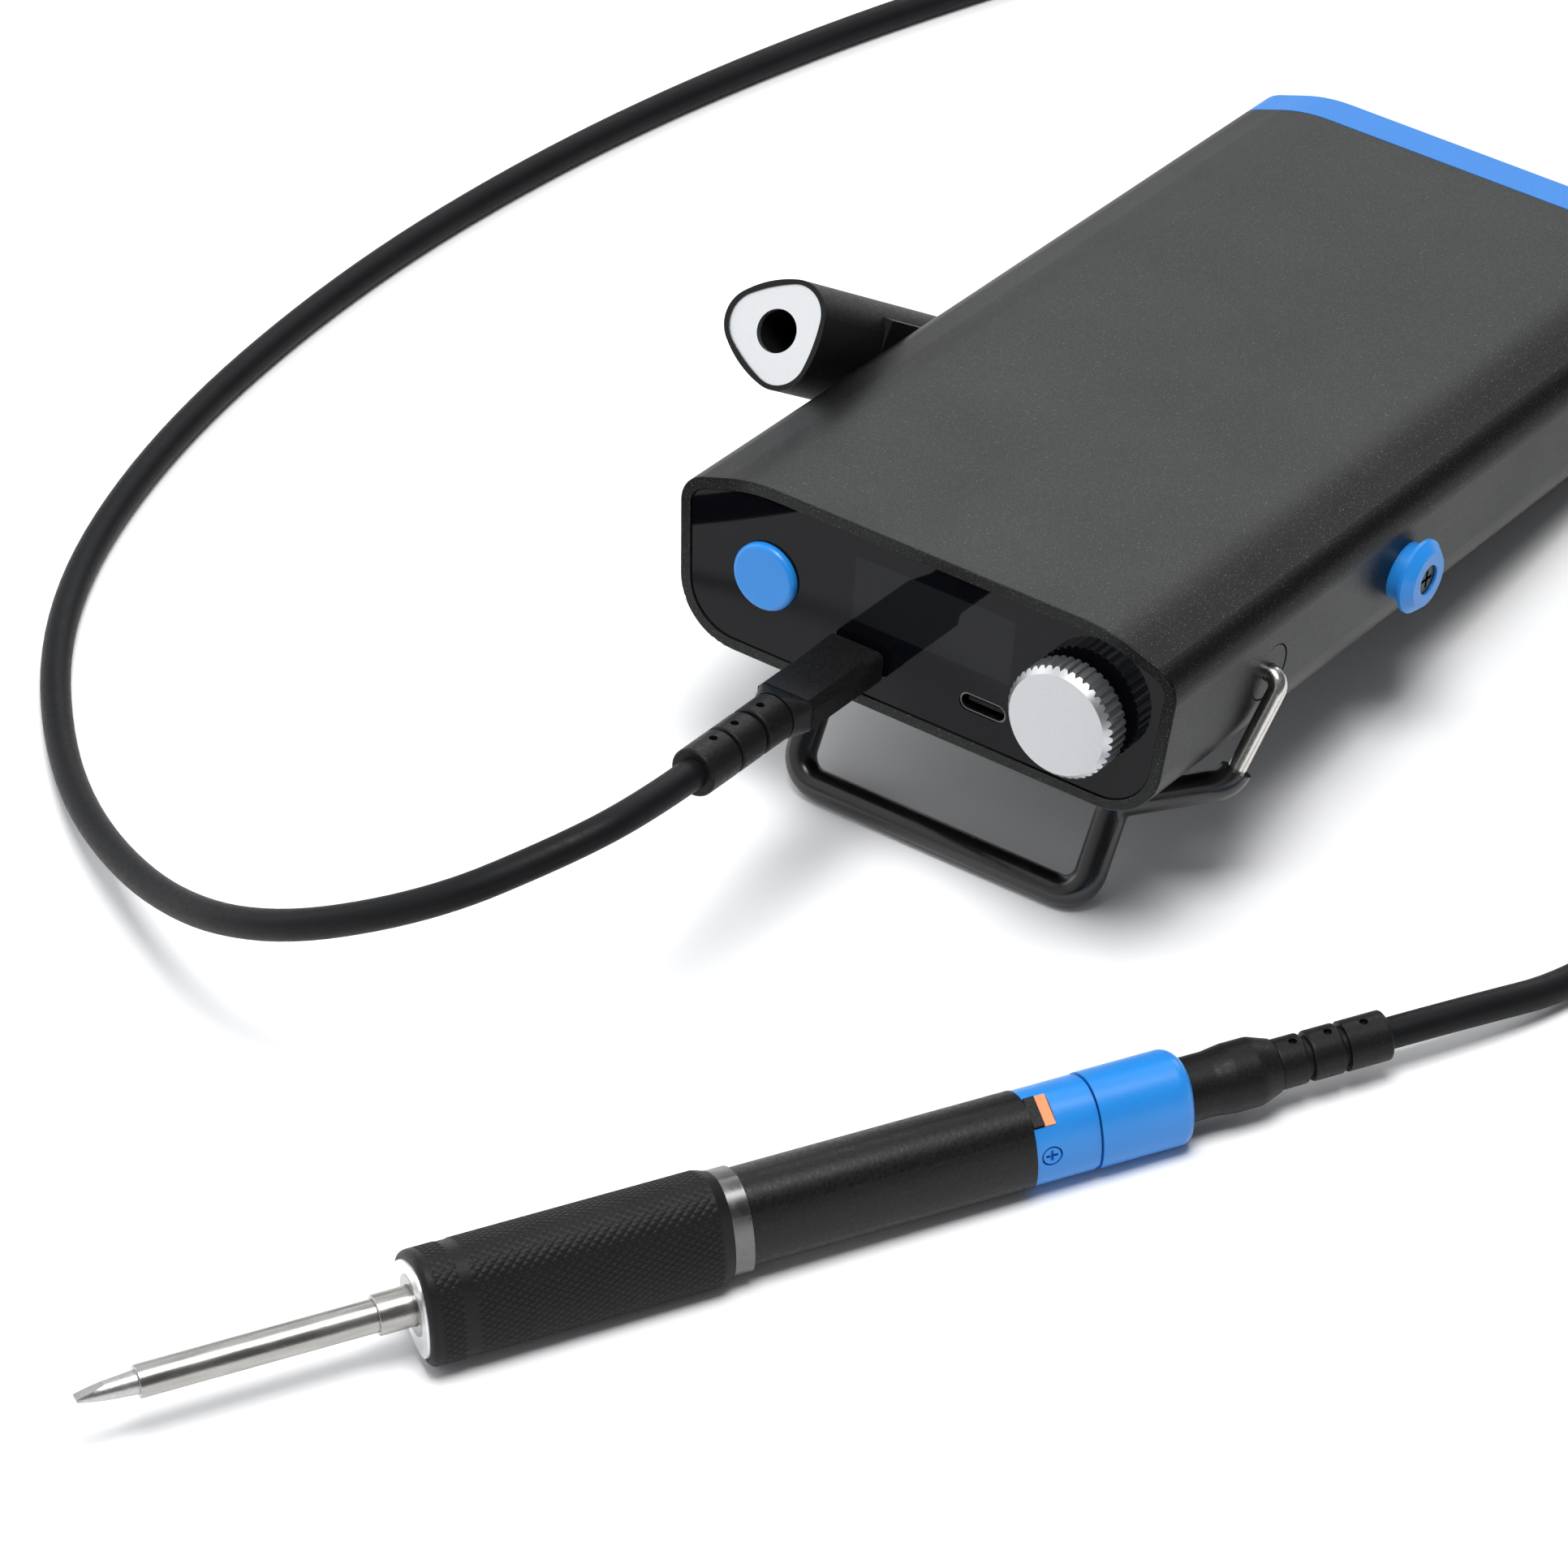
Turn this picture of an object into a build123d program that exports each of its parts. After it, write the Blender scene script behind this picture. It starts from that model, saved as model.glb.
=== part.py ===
from build123d import *
import math
import os

# A cordless soldering station with a tethered iron. Millimetres, X right, Y rear, Z up, floor at Z 0.
# The casing leans back: its rear edge stands on the floor and a wire bail holds its front up.
# The iron lies on the floor in front, joined to the station by one cord with a coil of slack behind.

os.makedirs("parts", exist_ok=True)

# Casing, in its own frame: X right, Y from the front edge to the rear, Z up from its flat bottom
STATION_X = -3.91
STATION_Y = -2.83
TILT = 10.0
FRONT_LIFT = 30.92
BASE_HALF = 45.4
SHOULDER_HALF = 47.6
SHOULDER_Z = 27.75
TOP_HALF = 34.2
TOP_Z = 32.3
CORNER_ROUND = 11.0
SHOULDER_ROUND = 5.4
TOP_ROUND = 30.0
RIM_ROUND = 0.35
WALL = 2.0
SLEEVE_END = 170.6
SEAM_END = 170.8
CASE_LENGTH = 179.5
CAP_ROUND = 1.6

# Front panel and what it carries
PANEL_FRONT = 0.3
PANEL_THICK = 2.0
PANEL_REAR = PANEL_FRONT + PANEL_THICK
PANEL_GAP = 0.2
RUNNING_GAP = 0.08
FIT_GAP = 0.1
BUTTON_X = -29.8
BUTTON_Z = 16.1
BUTTON_RADIUS = 5.95
BUTTON_PROUD = 1.3
BUTTON_ROUND = 0.9
BUTTON_REAR = 4.0
BUTTON_FLANGE = 6.9
PLUNGER_RADIUS = 1.7
PLUNGER_END = 7.5
SWITCH_FRONT = 5.0
SWITCH_SIZE = 7.0
TONGUE_START = 1.2
FRONT_BOARD_Y = 10.6
FRONT_BOARD_THICK = 1.6
KNOB_X = 30.2
KNOB_Z = 16.3
KNOB_RADIUS = 9.75
KNOB_FACE_RADIUS = 8.75
KNOB_REAR = -1.5
KNOB_BEVEL_START = -5.4
KNOB_FRONT = -6.6
KNOB_CROWN = 1.2
KNOB_TEETH = 42
TOOTH_SIZE = 0.62
KNOB_POCKET_RADIUS = 7.2
KNOB_POCKET_DEPTH = 1.5
BUSHING_RADIUS = 3.45
BUSHING_FRONT = -1.0
SHAFT_RADIUS = 3.0
SHAFT_END = 7.4
PUSHER_END = 8.5
ENCODER_SIZE = 12.0
ENCODER_FRONT = 4.0
NUT_ACROSS = 8.0
NUT_FRONT = -1.2
WINDOW_X = 1.85
WINDOW_Z = 20.65
DISPLAY_WIDTH = 33.0
DISPLAY_HEIGHT = 14.0
DISPLAY_THICK = 2.4
PORT_LEFT_X = -11.1
PORT_RIGHT_X = 12.6
PORT_Z = 8.8
PORT_WIDTH = 8.9
PORT_HEIGHT = 3.3
PORT_WALL = 0.3
PORT_DEPTH = 7.9
TONGUE_WIDTH = 6.7
TONGUE_THICK = 0.7

# Inside the casing
TRAY_HALF = 37.5
TRAY_BOTTOM = 2.3
TRAY_TOP = 3.9
TRAY_FRONT = 4.0
TRAY_WALL_Y = 165.6
TRAY_WALL_Z = 22.0
BOARD_BOTTOM = 5.6
BOARD_TOP = 7.1
BOARD_FRONT = 2.6
BOARD_REAR = 88.0
BOARD_HALF = 36.0
FRONT_BOARD_MIDDLE = 20.0
FRONT_BOARD_HEIGHT = 17.0
BOSS_X = 31.0
BOSS_FRONT = 20.0
BOSS_REAR = 80.0
BOSS_RADIUS = 3.0
BOARD_SCREW_RADIUS = 1.2
CELL_RADIUS = 10.6
CELL_PITCH = 22.0
CELL_FRONT = 94.0
CELL_LENGTH = 70.2
CELL_Z = 15.0
CELL_COUNT = 3
FRAME_MARGIN_X = 3.0
FRAME_MARGIN_Z = 0.8
TAB_THICK = 0.3
CAP_SCREW_X = 36.0
CAP_SCREW_Z = 16.0
CAP_CROSS = (1.5, 0.6)
CAP_CROSS_DEPTH = 0.8

# Bail
PIVOT_Y = 31.0
PIVOT_Z = 15.2
BUSH_RADIUS = 4.8
BUSH_FLANGE = 6.0
BUSH_START = 47.5
BUSH_INNER = 42.3
BUSH_FLANGE_THICK = 1.2
BUSH_GAP = 0.25
SKIN_GAP = 0.1
WIRE_RADIUS = 1.55
SLEEVE_RADIUS = 2.65
BAIL_LEAN = 25.0
BAIL_INNER_X = 40.0
BAIL_OUTER_X = 49.2
SHOULDER_X = 46.2
SHOULDER_REACH = 19.0
FOOT_X = 28.3
FOOT_REACH = 29.2
BAR_REACH = 46.21
SLEEVE_START = 16.6
BAIL_BENDS = [2.2, 5.0, 4.0, 5.0]
SLEEVE_FIT = 0.03

# Side posts
POST_Y = 72.5
POST_Z = 15.4
STEM_RADIUS = 5.0
FLANGE_RADIUS = 6.4
FLANGE_FACE_RADIUS = 4.8
POST_INNER = 46.0
FLANGE_INNER = 49.4
POST_OUTER = 51.6
POST_SCREW_RADIUS = 1.5
SCREW_HOLE = 1.6
SCREW_HEAD_RADIUS = 2.6
SCREW_SEAT_RADIUS = 2.64
SCREW_SEAT = 50.0
SCREW_TOP = 51.15
SCREW_END = 41.5
POST_CROSS = (1.6, 0.6)
POST_CROSS_DEPTH = 0.9
NUT_PLACE = 42.0
NUT_FLAT_REACH = 2.75
NUT_THICK = 2.4

# Tip cap on the left post; its bore takes the iron's shank
CAP_AXIS_X = -57.0
CAP_RISE = 29.9
CAP_LENGTH = 66.0
CAP_POST_AT = 37.75
CAP_BORE = 3.7
CAP_BORE_DEPTH = 60.0
CAP_PLATE_DEPTH = 1.6
CAP_PLATE_SUNK = 0.3
CAP_FLAT = 8.4
PAD_START = 22.0
PAD_HALF = 7.5
LIP_THICK = 0.72

# Iron: station 0 is the front of the grip, positive towards the cord
IRON_X = STATION_X - 0.487
IRON_Y = STATION_Y - 130.570
IRON_Z = 9.957
IRON_AZIMUTH = 56.34
IRON_PITCH = 1.055
IRON_TURN = -8.0
TIP_END = -55.4
CONE_BASE = -45.8
CONE_RADIUS = 1.95
CONE_END_RADIUS = 1.15
BLADE_TURN = -17.5
BLADE_LENGTH = 4.6
BLADE_TIP = 0.25
BLADE_ROOT = 1.3
TUBE_RADIUS = 2.65
TUBE_END = -8.1
SHANK_RADIUS = 3.25
SHANK_END = 16.0
TIP_EDGE = 0.25
JACK_RADIUS = 2.5
JACK_END = 40.0
IRON_BOARD_WIDTH = 8.6
IRON_BOARD_THICK = 1.2
PLATE_FRONT = -2.2
GRIP_FRONT = -1.8
PLATE_REAR = -0.6
GRIP_REAR = 45.5
GRIP_TAPER = 47.4
RING_END = 50.5
BARREL_END = 97.5
COLLAR_LIP = 107.7
COLLAR_END = 108.3
TWIST_FRONT = 108.6
TWIST_END = 124.6
TWIST_ROUND = 2.2
TAIL_RADIUS = 6.2
TAIL_END = 124.4
IRON_HOLLOW = 5.1
NOSE_BUSH_RADIUS = 4.96
CONNECTOR_RADIUS = 5.2
CONNECTOR_END = 129.4
BULGE_START = 132.6
BULGE_RADIUS = 5.6
BULGE_END = 137.0
NECK_RADIUS = 4.4
RELIEF_START = 140.4
RELIEF_END = 159.6
BULGE_ROUND = 3.0

# Sections across the iron and the tip cap: reach to a lobe, reach to a flat side, lobe radius
GRIP_SECTION = (10.0, 8.4, 5.8)
GRIP_END_SECTION = (9.0, 7.8, 5.6)
NOSE_SECTION = (8.4, 7.1, 5.0)
NOSE_SEAT_SECTION = (8.42, 7.12, 5.0)
CORE_SECTION = (7.6, 6.7, 5.2)
CORE_SEAT_SECTION = (7.62, 6.72, 5.2)
BARREL_SECTION = (8.3, 7.3, 5.4)
COLLAR_SECTION = (8.1, 7.15, 5.3)
COLLAR_LIP_SECTION = (7.9, 6.95, 5.2)
TWIST_SECTION = (8.2, 7.3, 5.5)
CAP_SECTION = (10.0, 8.4, 5.8)
CAP_PLATE_SECTION = (9.1, 7.4, 5.2)
NOSE_ROUND = 1.2
NOSE_BUSH_REAR = 2.6

# The collar's front has a notch over the top lobe for the latch tab and the indicator, and one screw
TOP_LOBE = IRON_TURN + 120.0
SCREW_SIDE = IRON_TURN + 180.0
NOTCH_FLOOR = 6.5
NOTCH_WIDTH = 5.4
NOTCH_END = 101.3
NOTCH_REACH = 12.0
TAB_END = 99.4
TAB_REACH = 8.1
INDICATOR_REACH = 7.6
COLLAR_FLAT = 7.15
COLLAR_SCREW_AT = 100.0
COLLAR_SCREW_RADIUS = 1.45
COLLAR_SEAT_RADIUS = 1.75
COLLAR_SCREW_SUNK = 0.15
COLLAR_SCREW_SEAT = 1.0
COLLAR_CROSS = (1.0, 0.5)
COLLAR_CROSS_DEPTH = 0.6

# Plugs, one in the left port and one in the iron's tail, with the same ribbed strain relief
PLUG_FRONT = -0.8
PLUG_STEP = -5.2
PLUG_SHOULDER = -20.5
PLUG_NECK = -24.0
PLUG_WIDTH = 10.9
PLUG_HEIGHT = 6.0
PLUG_CHAMFER = 1.3
PLUG_EDGE = 0.3
PLUG_STEP_DEPTH = 0.15
NECK_SQUARE = 8.2
SHELL_WIDTH = 8.1
SHELL_HEIGHT = 2.4
SHELL_WALL = 0.3
SHELL_LENGTH = 6.2
RELIEF_CORE = 3.3
RELIEF_RADIUS = 4.1
RELIEF_GROOVE = 0.8
RELIEF_ROUND = 0.5
RELIEF_RIBS = (6.4, 13.6, 22.0)
RELIEF_HOLES = (4.0, 11.0, 16.8)
IRON_RELIEF_RIBS = (4.9, 11.1, 19.2)
IRON_RELIEF_HOLES = (3.2, 9.2, 15.4)
HOLE_RADIUS = 0.7

# Cord, drawn centreline; every point is (X, Y, Z) from the middle of the casing's front bottom edge
CORD_RADIUS = 2.6
RELIEF_EXIT = -46.0
COIL_X = 38.0
COIL_Y = 245.0
COIL_TURN_RADIUS = 31.0
COIL_HALF_WIDTH = 6.9
COIL_HEIGHT = 10.4
ARC_SHARE = 0.45
EXIT_RUN = 12.5

deck = Location((STATION_X, STATION_Y, FRONT_LIFT), (-TILT, 0, 0))


def across(depth):
    """Plane across the casing, depth mm behind its front edge, facing forward."""
    return Plane(deck * Plane.XZ.offset(-depth).location)


def beside(distance):
    """Plane along the casing's side, distance mm right of its middle, facing right."""
    return Plane(deck * Plane.YZ.offset(distance).location)


def level(height):
    """Plane parallel to the casing's bottom, height mm above it."""
    return Plane(deck * Plane.XY.offset(height).location)


forward = Axis(deck.position, across(0).z_dir)


def casing_section(plane, inset=0.0):
    """The casing's cross-section on a plane, drawn inset mm inside its skin."""
    with BuildSketch(plane) as section:
        with BuildLine():
            Polyline(
                (-BASE_HALF, 0),
                (BASE_HALF, 0),
                (SHOULDER_HALF, SHOULDER_Z),
                (TOP_HALF, TOP_Z),
                (-TOP_HALF, TOP_Z),
                (-SHOULDER_HALF, SHOULDER_Z),
                close=True,
            )
        make_face()
        fillet(section.vertices().group_by(Axis.Y)[0], CORNER_ROUND)
        fillet(section.vertices().group_by(Axis.Y)[-2], SHOULDER_ROUND)
        fillet(section.vertices().group_by(Axis.Y)[-1], TOP_ROUND)
        if inset > 0:
            offset(amount=-inset, mode=Mode.REPLACE)
    return section.sketch


def lobed_section(plane, lobe, flat, corner, turn):
    """Three round lobes joined by slightly bulged sides; lobe and flat are reaches from the axis."""
    reach = lobe - corner
    crown = flat - corner
    back = (reach**2 - crown**2) / (2 * crown - reach)
    side_radius = back + flat
    with BuildSketch(plane) as section:
        with BuildLine():
            for lobe_number in range(3):
                heading = turn + 120 * lobe_number
                centre = Vector(reach, 0).rotate(Axis.Z, heading)
                before = Vector(back, 0).rotate(Axis.Z, heading + 120)
                after = Vector(back, 0).rotate(Axis.Z, heading - 120)
                start = before + (centre - before).normalized() * side_radius
                end = after + (centre - after).normalized() * side_radius
                tip = Vector(lobe, 0).rotate(Axis.Z, heading)
                ThreePointArc(start, tip, end)
                middle = Vector(flat, 0).rotate(Axis.Z, heading + 60)
                next_centre = Vector(reach, 0).rotate(Axis.Z, heading + 120)
                next_start = after + (next_centre - after).normalized() * side_radius
                ThreePointArc(end, middle, next_start)
        make_face()
    return section.sketch


def driver_cross(plane, arm, width):
    """Cross outline of a screwdriver recess."""
    with BuildSketch(plane) as cross:
        Rectangle(2 * arm, width)
        Rectangle(width, 2 * arm)
    return cross.sketch


# ---------------------------------------------------------------- casing

with BuildPart() as casing_sleeve:
    extrude(casing_section(across(SLEEVE_END)), amount=SLEEVE_END)
    fillet(casing_sleeve.faces().sort_by(forward)[-1].edges(), RIM_ROUND)
    extrude(casing_section(across(SLEEVE_END), WALL), amount=SLEEVE_END, mode=Mode.SUBTRACT)
    with BuildSketch(beside(0)):
        with Locations((PIVOT_Y, PIVOT_Z)):
            Circle(BUSH_RADIUS + BUSH_GAP)
        with Locations((POST_Y, POST_Z)):
            Circle(SCREW_HOLE)
    extrude(amount=SHOULDER_HALF + 1, both=True, mode=Mode.SUBTRACT)
casing_sleeve.part.label = "casing_sleeve"
export_step(casing_sleeve.part, "parts/casing_sleeve.step")

with BuildPart() as front_panel:
    extrude(casing_section(across(PANEL_REAR), WALL + PANEL_GAP), amount=PANEL_THICK)
    with BuildSketch(across(0)):
        with Locations((BUTTON_X, BUTTON_Z)):
            Circle(BUTTON_RADIUS + RUNNING_GAP)
        with Locations((KNOB_X, KNOB_Z)):
            Circle(BUSHING_RADIUS + RUNNING_GAP)
        with Locations((PORT_LEFT_X, PORT_Z), (PORT_RIGHT_X, PORT_Z)):
            SlotOverall(PORT_WIDTH, PORT_HEIGHT)
    extrude(amount=-PANEL_REAR, mode=Mode.SUBTRACT)
front_panel.part.label = "front_panel"
export_step(front_panel.part, "parts/front_panel.step")

with BuildPart() as rear_cap:
    extrude(casing_section(across(CASE_LENGTH)), amount=CASE_LENGTH - SEAM_END)
    fillet(rear_cap.faces().sort_by(forward)[0].edges(), CAP_ROUND)
    pocket = CASE_LENGTH - SEAM_END - WALL
    extrude(casing_section(across(SEAM_END + pocket), WALL), amount=pocket, mode=Mode.SUBTRACT)
    with BuildSketch(across(CASE_LENGTH)):
        with Locations((-CAP_SCREW_X, CAP_SCREW_Z), (CAP_SCREW_X, CAP_SCREW_Z)):
            Circle(SCREW_HOLE)
    extrude(amount=WALL, mode=Mode.SUBTRACT)
    with BuildSketch(across(CASE_LENGTH)):
        with Locations((-CAP_SCREW_X, CAP_SCREW_Z), (CAP_SCREW_X, CAP_SCREW_Z)):
            Circle(SCREW_SEAT_RADIUS)
    extrude(amount=WALL / 2, mode=Mode.SUBTRACT)
rear_cap.part.label = "rear_cap"
export_step(rear_cap.part, "parts/rear_cap.step")

with BuildPart() as rear_cap_screws:
    with BuildSketch(across(CASE_LENGTH - FIT_GAP)):
        with Locations((-CAP_SCREW_X, CAP_SCREW_Z), (CAP_SCREW_X, CAP_SCREW_Z)):
            Circle(SCREW_HEAD_RADIUS)
    extrude(amount=WALL / 2 - FIT_GAP)
    with BuildSketch(across(CASE_LENGTH - WALL / 2)):
        with Locations((-CAP_SCREW_X, CAP_SCREW_Z), (CAP_SCREW_X, CAP_SCREW_Z)):
            Circle(POST_SCREW_RADIUS)
    extrude(amount=CASE_LENGTH - WALL / 2 - TRAY_WALL_Y)
    for screw_x in (-CAP_SCREW_X, CAP_SCREW_X):
        socket = across(CASE_LENGTH) * Pos(screw_x, CAP_SCREW_Z)
        extrude(driver_cross(Plane(socket), *CAP_CROSS), amount=CAP_CROSS_DEPTH, mode=Mode.SUBTRACT)
rear_cap_screws.part.label = "rear_cap_screws"
export_step(rear_cap_screws.part, "parts/rear_cap_screws.step")

# ---------------------------------------------------------------- inside the casing

with BuildPart() as chassis_tray:
    with BuildSketch(level(TRAY_BOTTOM)):
        with Locations((0, (TRAY_FRONT + SLEEVE_END) / 2)):
            Rectangle(2 * TRAY_HALF, SLEEVE_END - TRAY_FRONT)
    extrude(amount=TRAY_TOP - TRAY_BOTTOM)
    with BuildSketch(across(SLEEVE_END)):
        with Locations((0, (TRAY_BOTTOM + TRAY_WALL_Z) / 2)):
            Rectangle(2 * TRAY_HALF + 4, TRAY_WALL_Z - TRAY_BOTTOM - 6)
    extrude(amount=SLEEVE_END - TRAY_WALL_Y)
    with BuildSketch(across(SLEEVE_END)):
        with Locations((0, (TRAY_BOTTOM + TRAY_WALL_Z) / 2)):
            Rectangle(2 * TRAY_HALF - 4, TRAY_WALL_Z - TRAY_BOTTOM)
    extrude(amount=SLEEVE_END - TRAY_WALL_Y)
    with BuildSketch(level(TRAY_TOP)):
        with Locations((0, (BOSS_FRONT + BOSS_REAR) / 2)):
            with GridLocations(2 * BOSS_X, BOSS_REAR - BOSS_FRONT, 2, 2):
                Circle(BOSS_RADIUS)
    extrude(amount=BOARD_BOTTOM - TRAY_TOP)
    with BuildSketch(level(BOARD_BOTTOM)):
        with Locations((0, (BOSS_FRONT + BOSS_REAR) / 2)):
            with GridLocations(2 * BOSS_X, BOSS_REAR - BOSS_FRONT, 2, 2):
                Circle(BOARD_SCREW_RADIUS + RUNNING_GAP)
    extrude(amount=-(BOARD_BOTTOM - TRAY_BOTTOM), mode=Mode.SUBTRACT)
    with BuildSketch(across(SLEEVE_END)):
        with Locations((-CAP_SCREW_X, CAP_SCREW_Z), (CAP_SCREW_X, CAP_SCREW_Z)):
            Circle(SCREW_HOLE)
    extrude(amount=SLEEVE_END - TRAY_WALL_Y, mode=Mode.SUBTRACT)
chassis_tray.part.label = "chassis_tray"
export_step(chassis_tray.part, "parts/chassis_tray.step")

with BuildPart() as main_board:
    with BuildSketch(level(BOARD_BOTTOM)):
        with Locations((0, (BOARD_FRONT + BOARD_REAR) / 2)):
            Rectangle(2 * BOARD_HALF, BOARD_REAR - BOARD_FRONT)
        with Locations((0, (BOSS_FRONT + BOSS_REAR) / 2)):
            with GridLocations(2 * BOSS_X, BOSS_REAR - BOSS_FRONT, 2, 2):
                Circle(BOARD_SCREW_RADIUS + RUNNING_GAP, mode=Mode.SUBTRACT)
    extrude(amount=BOARD_TOP - BOARD_BOTTOM)
main_board.part.label = "main_board"
export_step(main_board.part, "parts/main_board.step")

with BuildPart() as board_screws:
    with BuildSketch(level(BOARD_TOP)):
        with Locations((0, (BOSS_FRONT + BOSS_REAR) / 2)):
            with GridLocations(2 * BOSS_X, BOSS_REAR - BOSS_FRONT, 2, 2):
                Circle(2 * BOARD_SCREW_RADIUS)
    extrude(amount=BOARD_SCREW_RADIUS)
    with BuildSketch(level(BOARD_TOP)):
        with Locations((0, (BOSS_FRONT + BOSS_REAR) / 2)):
            with GridLocations(2 * BOSS_X, BOSS_REAR - BOSS_FRONT, 2, 2):
                Circle(BOARD_SCREW_RADIUS)
    extrude(amount=-(BOARD_TOP - TRAY_BOTTOM - 2 * FIT_GAP))
board_screws.part.label = "board_screws"
export_step(board_screws.part, "parts/board_screws.step")

with BuildPart() as front_board:
    with BuildSketch(across(FRONT_BOARD_Y)):
        with Locations((0, FRONT_BOARD_MIDDLE)):
            Rectangle(2 * BOARD_HALF, FRONT_BOARD_HEIGHT)
    extrude(amount=-FRONT_BOARD_THICK)
front_board.part.label = "front_board"
export_step(front_board.part, "parts/front_board.step")

with BuildPart() as display_module:
    with BuildSketch(across(PANEL_REAR)):
        with Locations((WINDOW_X, WINDOW_Z)):
            Rectangle(DISPLAY_WIDTH, DISPLAY_HEIGHT)
    extrude(amount=-DISPLAY_THICK)
display_module.part.label = "display_module"
export_step(display_module.part, "parts/display_module.step")

with BuildPart() as usb_shells:
    with BuildSketch(across(PANEL_FRONT + 2 * FIT_GAP)):
        with Locations((PORT_LEFT_X, PORT_Z), (PORT_RIGHT_X, PORT_Z)):
            SlotOverall(PORT_WIDTH - FIT_GAP, PORT_HEIGHT - FIT_GAP)
    extrude(amount=-PORT_DEPTH)
    with BuildSketch(across(PANEL_FRONT + 2 * FIT_GAP)):
        with Locations((PORT_LEFT_X, PORT_Z), (PORT_RIGHT_X, PORT_Z)):
            SlotOverall(PORT_WIDTH - FIT_GAP - 2 * PORT_WALL, PORT_HEIGHT - FIT_GAP - 2 * PORT_WALL)
    extrude(amount=-(PORT_DEPTH - PORT_WALL), mode=Mode.SUBTRACT)
usb_shells.part.label = "usb_shells"
export_step(usb_shells.part, "parts/usb_shells.step")

with BuildPart() as usb_tongues:
    with BuildSketch(across(PANEL_FRONT + TONGUE_START)):
        with Locations((PORT_LEFT_X, PORT_Z), (PORT_RIGHT_X, PORT_Z)):
            Rectangle(TONGUE_WIDTH, TONGUE_THICK)
    extrude(amount=-(PORT_DEPTH - TONGUE_START - PORT_WALL))
usb_tongues.part.label = "usb_tongues"
export_step(usb_tongues.part, "parts/usb_tongues.step")

with BuildPart() as power_switch:
    with BuildSketch(across(FRONT_BOARD_Y)):
        with Locations((BUTTON_X, BUTTON_Z)):
            Rectangle(SWITCH_SIZE, SWITCH_SIZE)
            Circle(PLUNGER_RADIUS + RUNNING_GAP, mode=Mode.SUBTRACT)
    extrude(amount=FRONT_BOARD_Y - SWITCH_FRONT)
power_switch.part.label = "power_switch"
export_step(power_switch.part, "parts/power_switch.step")

with BuildPart() as encoder_body:
    with BuildSketch(across(FRONT_BOARD_Y)):
        with Locations((KNOB_X, KNOB_Z)):
            Rectangle(ENCODER_SIZE, ENCODER_SIZE)
    extrude(amount=FRONT_BOARD_Y - ENCODER_FRONT)
    with BuildSketch(across(ENCODER_FRONT)):
        with Locations((KNOB_X, KNOB_Z)):
            Circle(BUSHING_RADIUS)
    extrude(amount=ENCODER_FRONT - BUSHING_FRONT)
    with BuildSketch(across(BUSHING_FRONT)):
        with Locations((KNOB_X, KNOB_Z)):
            Circle(SHAFT_RADIUS + RUNNING_GAP)
    extrude(amount=-(PUSHER_END + 1 - BUSHING_FRONT), mode=Mode.SUBTRACT)
encoder_body.part.label = "encoder_body"
export_step(encoder_body.part, "parts/encoder_body.step")

with BuildPart() as encoder_nut:
    with BuildSketch(across(PANEL_FRONT)):
        with Locations((KNOB_X, KNOB_Z)):
            RegularPolygon(NUT_ACROSS / 2, 6, major_radius=False)
            Circle(BUSHING_RADIUS, mode=Mode.SUBTRACT)
    extrude(amount=PANEL_FRONT - NUT_FRONT)
encoder_nut.part.label = "encoder_nut"
export_step(encoder_nut.part, "parts/encoder_nut.step")

with BuildPart() as battery_cells:
    with BuildSketch(across(CELL_FRONT)):
        with Locations((0, CELL_Z)):
            with GridLocations(CELL_PITCH, 1, CELL_COUNT, 1):
                Circle(CELL_RADIUS)
    extrude(amount=-CELL_LENGTH)
battery_cells.part.label = "battery_cells"
export_step(battery_cells.part, "parts/battery_cells.step")

with BuildPart() as cell_frames:
    for frame_y in (CELL_FRONT + 4, CELL_FRONT + CELL_LENGTH - 8):
        with BuildSketch(across(frame_y)):
            with Locations((0, CELL_Z)):
                Rectangle(CELL_COUNT * CELL_PITCH + FRAME_MARGIN_X, 2 * CELL_RADIUS + FRAME_MARGIN_Z)
                with GridLocations(CELL_PITCH, 1, CELL_COUNT, 1):
                    Circle(CELL_RADIUS + RUNNING_GAP, mode=Mode.SUBTRACT)
        extrude(amount=-4)
cell_frames.part.label = "cell_frames"
export_step(cell_frames.part, "parts/cell_frames.step")

with BuildPart() as cell_tabs:
    for tab_y in (CELL_FRONT, CELL_FRONT + CELL_LENGTH + TAB_THICK):
        with BuildSketch(across(tab_y)):
            with Locations((0, CELL_Z)):
                Rectangle(2 * CELL_PITCH + 8, 6)
        extrude(amount=TAB_THICK)
cell_tabs.part.label = "cell_tabs"
export_step(cell_tabs.part, "parts/cell_tabs.step")

# ---------------------------------------------------------------- power button and knob

with BuildPart() as power_button:
    with BuildSketch(across(BUTTON_REAR)):
        with Locations((BUTTON_X, BUTTON_Z)):
            Circle(BUTTON_RADIUS)
    extrude(amount=BUTTON_REAR - PANEL_FRONT + BUTTON_PROUD)
    fillet(power_button.faces().sort_by(forward)[-1].edges(), BUTTON_ROUND)
    with BuildSketch(across(BUTTON_REAR)):
        with Locations((BUTTON_X, BUTTON_Z)):
            Circle(BUTTON_FLANGE)
    extrude(amount=BUTTON_REAR - PANEL_REAR - RUNNING_GAP)
power_button.part.label = "power_button"
export_step(power_button.part, "parts/power_button.step")

with BuildPart() as switch_plunger:
    with BuildSketch(across(PLUNGER_END)):
        with Locations((BUTTON_X, BUTTON_Z)):
            Circle(PLUNGER_RADIUS)
    extrude(amount=PLUNGER_END - BUTTON_REAR)
switch_plunger.part.label = "switch_plunger"
export_step(switch_plunger.part, "parts/switch_plunger.step")

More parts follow.
